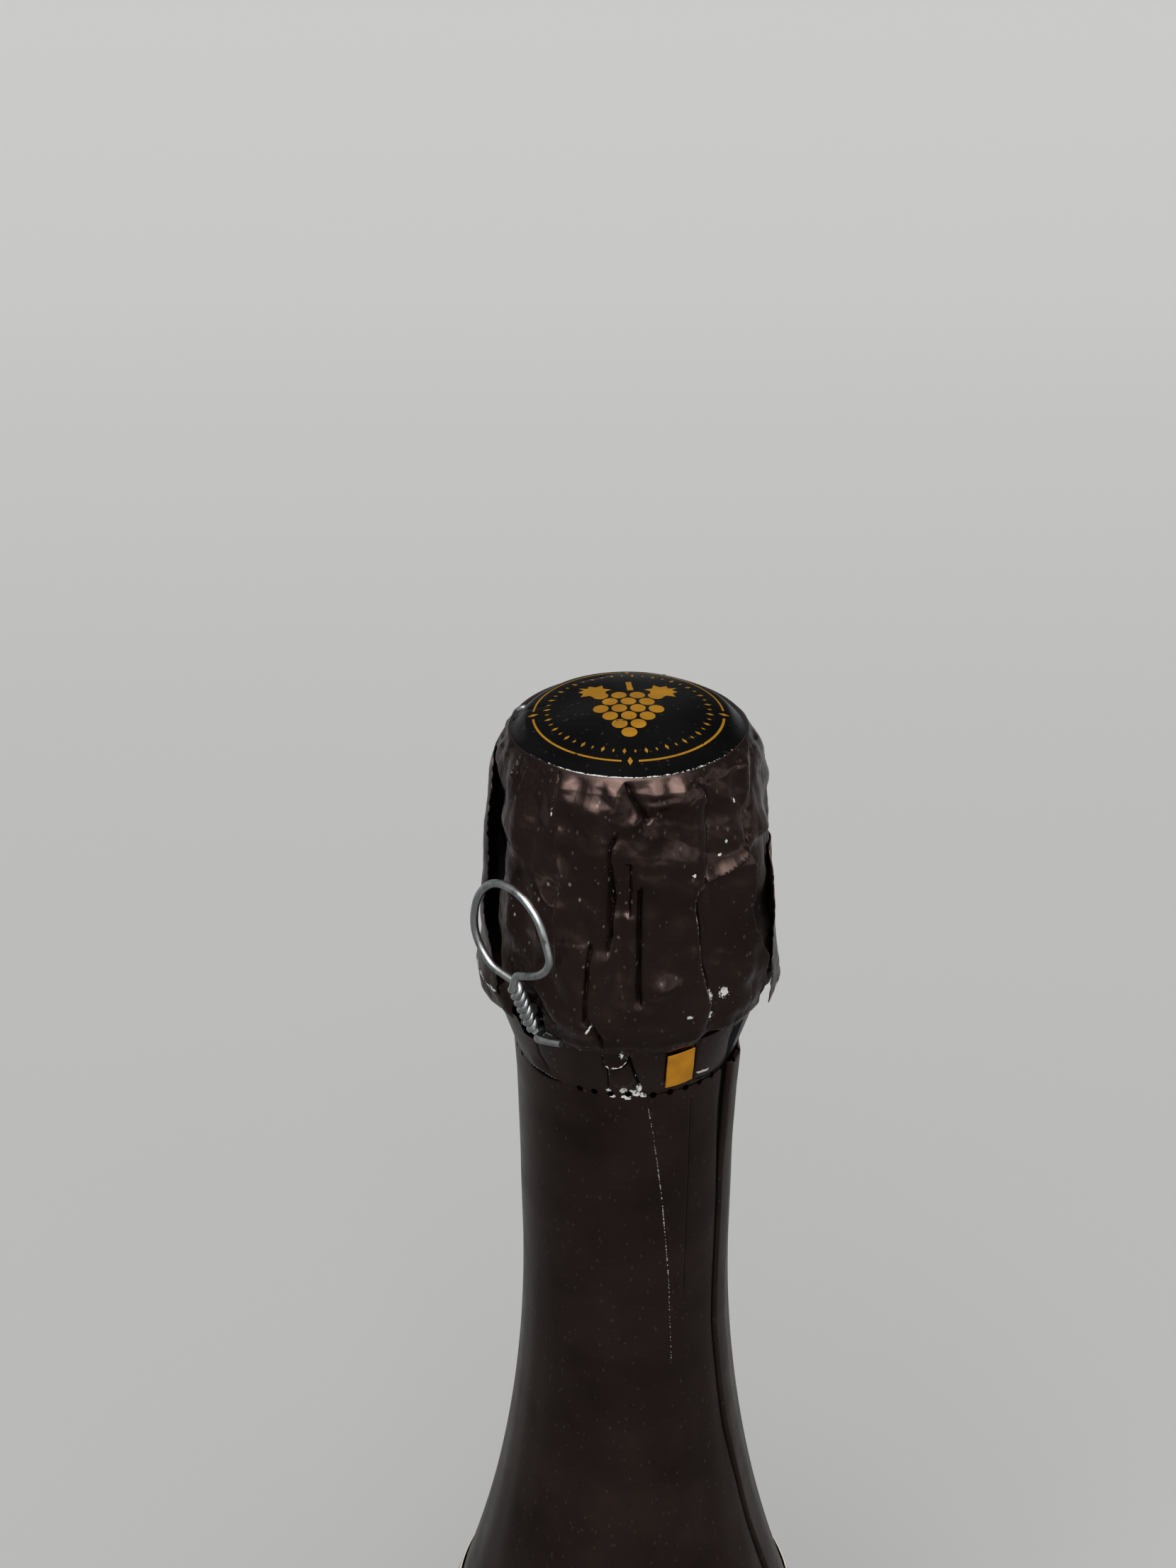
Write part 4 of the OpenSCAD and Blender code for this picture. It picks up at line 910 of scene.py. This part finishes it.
def build_skirt():
    cols, rows = 1500, 200
    a = np.linspace(-180, 180, cols, endpoint=False)[None, :]
    high = seam_z(a) - hole_height(a) - 0.3 * lens(a)
    t = np.linspace(0, 1, rows)[:, None]
    z = SKIRT_Z + (high - SKIRT_Z) * (1 - (1 - t) ** 1.35)
    a = np.broadcast_to(a, z.shape)
    dz = z - LIP
    plain = np.interp(z, [NECK_Z + 8, TEAR_LOW_Z - 6, TEAR_LOW_Z], [NECK_R + 0.3, NECK_R + 0.6, TEAR_LOW_R])
    r = np.maximum(glass_r(z) + 0.3, plain)
    seam = smooth((TEAR_LOW_Z - z) / 0.7)
    # Long soft wrinkles, stronger towards the shoulder
    waves = 0.05 * np.sin(np.radians(9 * a + 0.35 * dz)) + 0.03 * np.sin(np.radians(23 * a - 0.6 * dz))
    waves = waves + 0.05 * crumple(np.radians(a) * 14, dz * 0.12, 31, 3.0)
    r = r + seam * (waves * smooth((250 - z) / 60 + 0.25) + 0.05)
    start = seam_azimuth(z)
    off = np.radians(turned(a, start)) * r
    over = smooth(off / 0.25 + 0.5) * smooth((22 - turned(a, start)) / 12)
    rise = 0.45 + 0.25 * smooth((z - 262) / 20) + 0.15 * smooth((200 - z) / 30)
    # Under the collar label the overlap lies flat
    r = r + rise * over * (0.35 + 0.65 * seam) * smooth((z - 179.5) / 6)
    gap = 0.55 * smooth((z - 262) / 18) + 0.22 + 0.2 * smooth((205 - z) / 30)
    r = r - 0.22 * seam * np.exp(-(((off + gap * 0.6) / gap) ** 2))
    shade = overlap_gap(a, z)
    wear = np.zeros(z.shape)
    d, side, share = line_distance(lifted(THIN_SEAM), a, dz)
    r = r + 0.06 * side * np.exp(-d / 1.2) * np.tanh(d / 0.05) * smooth(np.minimum(share, 1 - share) * 8)
    wear = np.maximum(wear, 0.78 * np.exp(-(d / 0.10) ** 2) * smooth(share * 30) * smooth((0.92 - share) * 2.2))
    d, side, share = line_distance(lifted(FAINT_SEAM), a, dz)
    ends = smooth(np.minimum(share, 1 - share) * 8 + 0.2)
    r = r - 0.12 * np.exp(-d / 0.15) * ends
    # Painted shade in the groove of the faint seam
    shade = np.maximum(shade, 0.8 * ends * np.exp(-(d / 0.09) ** 4))
    wear = np.maximum(wear, torn_bits(a, dz))
    wear = np.maximum(wear, 0.45 * np.exp(-((off - 0.2) / 0.14) ** 2) * np.exp(-((z - 218) / 12) ** 2))
    wear = np.maximum(wear, 0.28 * np.exp(-((off - 0.12) / 0.12) ** 2) * smooth((z - 225) / 20))
    # Painted shade along the skirt's top edge where the slit gapes
    shade = np.maximum(shade, lens(a) * np.exp(-((high - z) / 0.25) ** 2))
    outer = at(a, r, z)
    inner = at(a, r - SHEET, z)
    points, faces, tags = shell(outer, inner, True)
    skirt = add_piece("foil_skirt", points, faces, "bottle", ["capsule_skirt"], [FOIL, FOIL_BACK, FOIL], tags)
    add_fields(skirt, z.shape, wear=wear, shade=shade, dust=np.full(z.shape, 0.1))


def build_tab():
    cols, rows = 26, 34
    slope = (TEAR_TOP_R - TEAR_LOW_R) / (TEAR_TOP_Z - TEAR_LOW_Z)
    lean = math.atan(slope)
    mid_z = TEAR_LOW_Z + (TEAR_TOP_Z - TEAR_LOW_Z) / 2 + 0.35
    mid_r = TEAR_LOW_R + slope * (mid_z - TEAR_LOW_Z) + 0.12
    x = np.linspace(-TAB_W / 2, TAB_W / 2, cols)[None, :]
    y = np.linspace(-TAB_H / 2, TAB_H / 2, rows)[:, None]
    out = TAB_T - 0.05 - 0.03 * x * x + 0.03 * np.sin(y * 1.3 + x) + 0.0 * y
    c, s = math.cos(lean), math.sin(lean)
    skew = 0.89 * x - 0.43 - 0.10 * y

    def placed(lift):
        px = skew + 0 * y
        height = y * c - lift * s + mid_z + 0.06 * x
        reach = mid_r + y * s + lift * c
        a = math.radians(TAB_AZIMUTH)
        return np.stack(np.broadcast_arrays(reach * math.sin(a) + px * math.cos(a),
                                            -reach * math.cos(a) + px * math.sin(a), height), -1)

    points, faces, tags = shell(placed(out), placed(out - 0.15), False)
    add_piece("pull_tab", points, faces, "tear_tab", ["tear_tab"], [TAB_GOLD, INSIDE, TAB_GOLD], tags, 40)


# Wires
def ring_path(r, z, steps):
    return at(np.linspace(0, 360, steps, endpoint=False), r, np.full(steps, z))


def head_r(z):
    draw = 1.75 * max(0, (z - HEAD_TOP + 9.4) / 9.4) ** 1.8
    return CORK_R - draw - 0.7 * max(0, (HEAD_LOW + 5 - z) / 5) ** 2


def leg_parts(a):
    pair = FRAME_WIRE
    route = curve([
        (TOP_RING_R, RING_WIRE_Z), (PLAQUE_R + 0.1, RING_WIRE_Z - 0.15), (PLAQUE_R + 0.9, RING_WIRE_Z - 1.4),
        (head_r(HEAD_TOP - 2.4) + pair + 0.1, HEAD_TOP - 2.6), (head_r(HEAD_TOP - 6.4) + pair + 0.1, HEAD_TOP - 6.4),
        (CORK_R + pair + 0.1, HEAD_LOW + 8), (CORK_R + pair + 0.1, HEAD_LOW + 2), (CORK_R + pair + 0.5, LIP - 4),
        (RING_R + pair + 0.1, RING_TOP + 0.8), (RING_R + pair + 0.2, RING_LOW + 2.4),
        (RING_R + pair - 0.25, RING_LOW + 0.6), (BELT_R + 0.75, BELT_Z + 0.55)], 24)
    n = len(route)
    step = np.gradient(route, axis=0)
    step /= np.linalg.norm(step, axis=1)[:, None]
    i = np.arange(n) / 4
    wide = np.minimum(1, np.minimum(np.maximum(0.12, (i - 7) / 9), (n / 4 - i + 1) / 7))
    ar = math.radians(a)
    parts = []
    for side in (0, 180):
        w = np.radians(360 * LEG_TURNS * np.arange(n) / n + side)
        k = FRAME_WIRE / 2 * wide
        r = route[:, 0] - k * np.cos(w) * step[:, 1]
        z = route[:, 1] + k * np.cos(w) * step[:, 0]
        path = at(a, r, z) + (k * np.sin(w))[:, None] * np.array([math.cos(ar), math.sin(ar), 0])
        parts.append(tube(path, FRAME_WIRE / 2 * 0.97, 10))
    t = np.radians(np.arange(0, 345, 15) + 60)
    path = at(a, BELT_R + 0.85 * np.cos(t), BELT_Z + 0.85 * np.sin(t))
    path = path + (np.linspace(-0.17, 0.17, len(t)))[:, None] * np.array([math.cos(ar), math.sin(ar), 0])
    parts.append(tube(path, 0.3, 10))
    return parts


def build_wires():
    parts = [tube(ring_path(TOP_RING_R, RING_WIRE_Z, 144), FRAME_WIRE / 2, 12, True)]
    for k in range(4):
        parts += leg_parts(LEG_AZIMUTH + 90 * k)
    points, faces = joined(parts)
    add_piece("cage_frame", points, faces, "muselet", ["muselet_frame"], [WIRE])
    w = BELT_WIRE / 2
    tail_r = TEAR_TOP_R + w + 0.35
    tail = curve([at(STEM_AZIMUTH + 2, BELT_R + 0.2, BELT_Z), at(STEM_AZIMUTH + 3.5, ROOT_R, ROOT_Z),
                  at(STEM_AZIMUTH + 6, tail_r, ROOT_Z + 0.3),
                  at(STEM_AZIMUTH + 6 + TAIL_L * 57.3 / tail_r, tail_r + 0.1, ROOT_Z + 1)], 14)
    knot = curve([at(STEM_AZIMUTH - 6, BELT_R, BELT_Z), at(STEM_AZIMUTH - 2, BELT_R + 0.4, BELT_Z + 0.2),
                  at(STEM_AZIMUTH, ROOT_R, ROOT_Z)], 10)
    points, faces = joined([tube(ring_path(BELT_R, BELT_Z, 144), w, 12, True), tube(tail, w * 0.95, 14),
                            tube(knot, w * 0.95, 12)])
    add_piece("belt_wire", points, faces, "muselet", ["muselet_belt"], [WIRE])


# Middle line of the eye as (sideways, up) from the top of the stem
EYE_LINE = [(0, 0), (-4.5, 0.9), (-7.1, 4.6), (-6.4, 9.6), (-3.4, 13.0), (0.7, 13.4), (4.1, 11.2), (6.0, 7.0),
            (5.9, 5.2), (4.7, 3.7), (2.9, 2.6), (1.0, 1.8), (-0.3, 0.9)]


def build_eye():
    w = BELT_WIRE / 2
    length = math.hypot(STEM_REACH, STEM_RISE)
    out, up = STEM_REACH / length, STEM_RISE / length
    a = math.radians(STEM_AZIMUTH)
    across = np.array([math.cos(a), math.sin(a), 0])
    pair = w + 0.02
    first = 1.05 * BELT_WIRE
    n = STEM_TURNS * 24

    def strand(side):
        i = np.arange(n + 1)
        s = first + (length - first) * i / n
        turn = np.radians(360 * i / 24 + side)
        r = ROOT_R + out * s + pair * np.cos(turn) * up
        z = ROOT_Z + up * s - pair * np.cos(turn) * out
        return at(STEM_AZIMUTH, r, z) + (pair * np.sin(turn))[:, None] * across

    flat = curve(EYE_LINE, 10)
    flat = flat[6:-4]
    m = len(flat)
    lean = 0.45 * (np.arange(m) / m - 0.5)
    top_r, top_z = ROOT_R + STEM_REACH, ROOT_Z + STEM_RISE + 0.4
    eye = at(STEM_AZIMUTH, top_r + lean, top_z + flat[:, 1]) + flat[:, 0][:, None] * across
    rise, fall = strand(180), strand(0)[::-1]
    # Short bows join the eye to the two strands
    near = curve([rise[-6], rise[-1], eye[3], eye[9]], 8)[8:16]
    far = curve([eye[-10], eye[-4], fall[0], fall[5]], 8)[8:16]
    path = np.concatenate([rise[:-1], near, eye[3:-4], far, fall[1:]])
    points, faces = tube(path, w, 14)
    add_piece("eye_wire", points, faces, "wire_loop", ["wire_eye"], [WIRE])


build_hood()
build_flap("foil_flap_left", LEFT_EDGE, -122, -12.7, 17.0, 0.25, 0.25, 41)
build_flap("foil_flap_right", RIGHT_EDGE, 118, -15.4, 3.6, 0.35, 0.75, 47)
build_disc()
build_print()
build_strip()
build_skirt()
build_tab()
build_wires()
build_eye()


# Materials of the pieces whose frame shape is right
def glass_material():
    mat, tree, shader = new_material("bottle_glass", (0.035, 0.075, 0.028), 0.04)
    shader.inputs["Transmission Weight"].default_value = 1.0
    shader.inputs["IOR"].default_value = 1.52
    place = coords(tree)
    tone = ramp(tree, noise(tree, place, 30, 2), [(0.3, (0.028, 0.06, 0.022)), (0.7, (0.045, 0.09, 0.034))])
    tree.links.new(tone, shader.inputs["Base Color"])
    tree.links.new(ramp(tree, noise(tree, place, 70, 3), [(0.3, 0.03), (0.7, 0.08)]), shader.inputs["Roughness"])
    bump(tree, shader, noise(tree, place, 60, 2), 0.0002, 0.25)
    return mat


def wine_material():
    mat, tree, shader = new_material("wine", (0.80, 0.62, 0.22), 0.02)
    shader.inputs["Transmission Weight"].default_value = 1.0
    shader.inputs["IOR"].default_value = 1.34
    tone = ramp(tree, noise(tree, coords(tree), 12, 2), [(0.3, (0.78, 0.60, 0.20)), (0.7, (0.84, 0.68, 0.28))])
    tree.links.new(tone, shader.inputs["Base Color"])
    return mat


def cork_material(name, agglomerate):
    mat, tree, shader = new_material(name, (0.55, 0.36, 0.2), 0.75)
    place = coords(tree)
    if agglomerate:
        cells = add_node(tree, "ShaderNodeTexVoronoi", {"Vector": place, "Scale": 420.0})
        tone = ramp(tree, cells.outputs["Color"], [(0.15, (0.30, 0.17, 0.085)), (0.5, (0.50, 0.32, 0.17)), (0.85, (0.64, 0.45, 0.27))])
        height = ramp(tree, cells.outputs["Distance"], [(0.0, 1.0), (0.7, 0.2)])
    else:
        tone = ramp(tree, noise(tree, coords(tree, (1, 1, 0.3)), 260, 5, 0.65), [(0.3, (0.20, 0.11, 0.05)), (0.42, (0.56, 0.38, 0.21)), (0.7, (0.66, 0.47, 0.28))])
        height = noise(tree, place, 700, 4)
    grain = mix(tree, ramp(tree, noise(tree, place, 2200, 3), [(0.45, 0.0), (0.8, 0.5)]), tone, (0.22, 0.12, 0.06))
    tree.links.new(grain, shader.inputs["Base Color"])
    bump(tree, shader, height, 0.0002, 0.5)
    return mat


def plaque_material():
    mat, tree, shader = new_material("plaque_lacquer", (0.62, 0.45, 0.17), 0.32, 0.8)
    place = coords(tree)
    tone = ramp(tree, noise(tree, place, 200, 4), [(0.3, (0.54, 0.38, 0.13)), (0.7, (0.68, 0.50, 0.21))])
    tree.links.new(tone, shader.inputs["Base Color"])
    bump(tree, shader, noise(tree, place, 1500, 3), 0.00002, 0.5)
    return mat


def paper_material(name):
    mat, tree, shader = new_material(name, (0.78, 0.74, 0.64), 0.78)
    place = coords(tree)
    laid = add_node(tree, "ShaderNodeTexWave", {"Vector": place, "Scale": 420.0, "Distortion": 1.2, "Detail": 2.0},
                    bands_direction="Z").outputs["Fac"]
    fibre = noise(tree, place, 900, 5, 0.65)
    tone = ramp(tree, fibre, [(0.3, (0.70, 0.66, 0.56)), (0.7, (0.80, 0.77, 0.68))])
    tone = mix(tree, ramp(tree, laid, [(0.2, 0.0), (0.9, 0.12)]), tone, (0.62, 0.57, 0.46))
    tree.links.new(tone, shader.inputs["Base Color"])
    bump(tree, shader, maths(tree, "ADD", maths(tree, "MULTIPLY", laid, 0.6), fibre), 0.00005, 0.6)
    return mat


def dress(node, mat):
    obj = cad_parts[node]
    if not obj.material_slots:
        obj.data.materials.append(None)
    for place in obj.material_slots:
        place.link = "OBJECT"
        place.material = mat


def build_glass():
    """The frame's own form of the glass, joined at its points so that it shades evenly."""
    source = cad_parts["glass_bottle"].data
    points = np.array([v.co[:] for v in source.vertices]) / MM
    points, index = np.unique(np.round(points, 4), axis=0, return_inverse=True)
    index = index.ravel()
    faces = [[int(index[i]) for i in p.vertices] for p in source.polygons]
    faces = [f for f in faces if len(set(f)) == len(f)]
    add_piece("green_glass", points, faces, "bottle", ["glass_bottle"], [glass_material()], sharp=35)


PAPER = paper_material("laid_paper")
build_glass()
dress("wine", wine_material())
dress("cork_body", cork_material("cork_granules", True))
NATURAL = cork_material("cork_whole", False)
dress("cork_disc_upper", NATURAL)
dress("cork_disc_lower", NATURAL)
dress("muselet_plaque", plaque_material())
for label in ("collar_label", "front_label", "back_label"):
    dress(label, PAPER)


# Floor, light and camera
def build_stage():
    mesh = bpy.data.meshes.new("floor")
    half = 6.0
    mesh.from_pydata([(-half, -half, 0), (half, -half, 0), (half, half, 0), (-half, half, 0)], [], [(0, 1, 2, 3)])
    floor = bpy.data.objects.new("floor", mesh)
    bpy.context.scene.collection.objects.link(floor)
    mat, tree, shader = new_material("floor_paint", (0.62, 0.625, 0.615), 0.75)
    place = add_node(tree, "ShaderNodeTexCoord").outputs["Object"]
    parted = add_node(tree, "ShaderNodeSeparateXYZ", {"Vector": place})
    # Painted shade: seen directly, the floor grows darker towards the front
    depth = maths(tree, "ADD", maths(tree, "MULTIPLY", parted.outputs["Y"], 0.2), 0.2)
    grain = maths(tree, "MULTIPLY", noise(tree, place, 3, 2), 0.004)
    pale = ramp(tree, maths(tree, "ADD", depth, grain), [
        (0.0, (0.50, 0.50, 0.495)), (0.27, (0.505, 0.505, 0.505)), (0.33, (0.53, 0.535, 0.525)),
        (0.45, (0.60, 0.605, 0.595)), (0.62, (0.63, 0.635, 0.62)), (1.0, (0.64, 0.645, 0.63))])
    # In reflections the floor is dim in front of the bottle and pale behind it
    mirrored = ramp(tree, depth, [
        (0.0, (0.07, 0.07, 0.07)), (0.14, (0.10, 0.10, 0.10)), (0.21, (0.13, 0.13, 0.13)),
        (0.27, (0.26, 0.26, 0.26)), (0.33, (0.36, 0.36, 0.36)), (1.0, (0.30, 0.30, 0.30))])
    glossy = add_node(tree, "ShaderNodeLightPath").outputs["Is Glossy Ray"]
    tree.links.new(mix(tree, glossy, pale, mirrored), shader.inputs["Base Color"])
    mesh.materials.append(mat)

    world = bpy.data.worlds.new("studio")
    bpy.context.scene.world = world
    world.use_nodes = True
    tree = world.node_tree
    back = tree.nodes["Background"]
    back.inputs["Color"].default_value = (0.96, 0.98, 1.0, 1)
    path = add_node(tree, "ShaderNodeLightPath")
    # Reflections show a room with softly lit and dim parts
    around = add_node(tree, "ShaderNodeTexCoord").outputs["Generated"]
    patches = ramp(tree, noise(tree, around, 3.2, 1), [(0.40, 0.06), (0.50, 0.22), (0.62, 1.0)])
    behind = add_node(tree, "ShaderNodeSeparateXYZ", {"Vector": around}).outputs["Y"]
    calmer = ramp(tree, maths(tree, "MULTIPLY_ADD", behind, 0.5, 0.5), [(0.3, 1.0), (0.65, 0.3)])
    patches = maths(tree, "MULTIPLY", patches, calmer)
    level = mix(tree, path.outputs["Is Glossy Ray"], (0.22, 0.22, 0.22), patches)
    tree.links.new(level, back.inputs["Strength"])
    seen = add_node(tree, "ShaderNodeBackground", {"Color": (0.56, 0.565, 0.555, 1), "Strength": 1.0})
    either = maths(tree, "MAXIMUM", path.outputs["Is Camera Ray"], path.outputs["Is Transmission Ray"])
    both = add_node(tree, "ShaderNodeMixShader", {0: either, 1: back.outputs[0], 2: seen.outputs[0]})
    tree.links.new(both.outputs[0], tree.nodes["World Output"].inputs["Surface"])

    def lamp(name, kind, energy, place, turn, **settings):
        data = bpy.data.lights.new(name, kind)
        data.energy = energy
        for key, value in settings.items():
            setattr(data, key, value)
        obj = bpy.data.objects.new(name, data)
        obj.location = place
        obj.rotation_euler = [math.radians(t) for t in turn]
        bpy.context.scene.collection.objects.link(obj)

    lamp("ceiling", "SUN", 2.1, (0, 0, 2), (28, 5, 0), angle=math.radians(50), color=(1.0, 0.985, 0.96))
    lamp("room", "SUN", 0.9, (0, 0, 2), (48, -14, 0), angle=math.radians(40), color=(0.98, 0.99, 1.0))


def build_camera():
    data = bpy.data.cameras.new("camera")
    data.lens = 52.08
    camera = bpy.data.objects.new("camera", data)
    camera.location = (-0.004945, -0.244418, 0.456601)
    pitch = Matrix.Rotation(math.radians(60.8), 3, "X")
    roll = Matrix.Rotation(math.radians(-0.25), 3, "Z")
    camera.rotation_euler = (pitch @ roll).to_euler()
    bpy.context.scene.collection.objects.link(camera)
    bpy.context.scene.camera = camera


build_stage()
build_camera()
bpy.context.scene.view_settings.view_transform = "Standard"
bpy.context.view_layer.update()
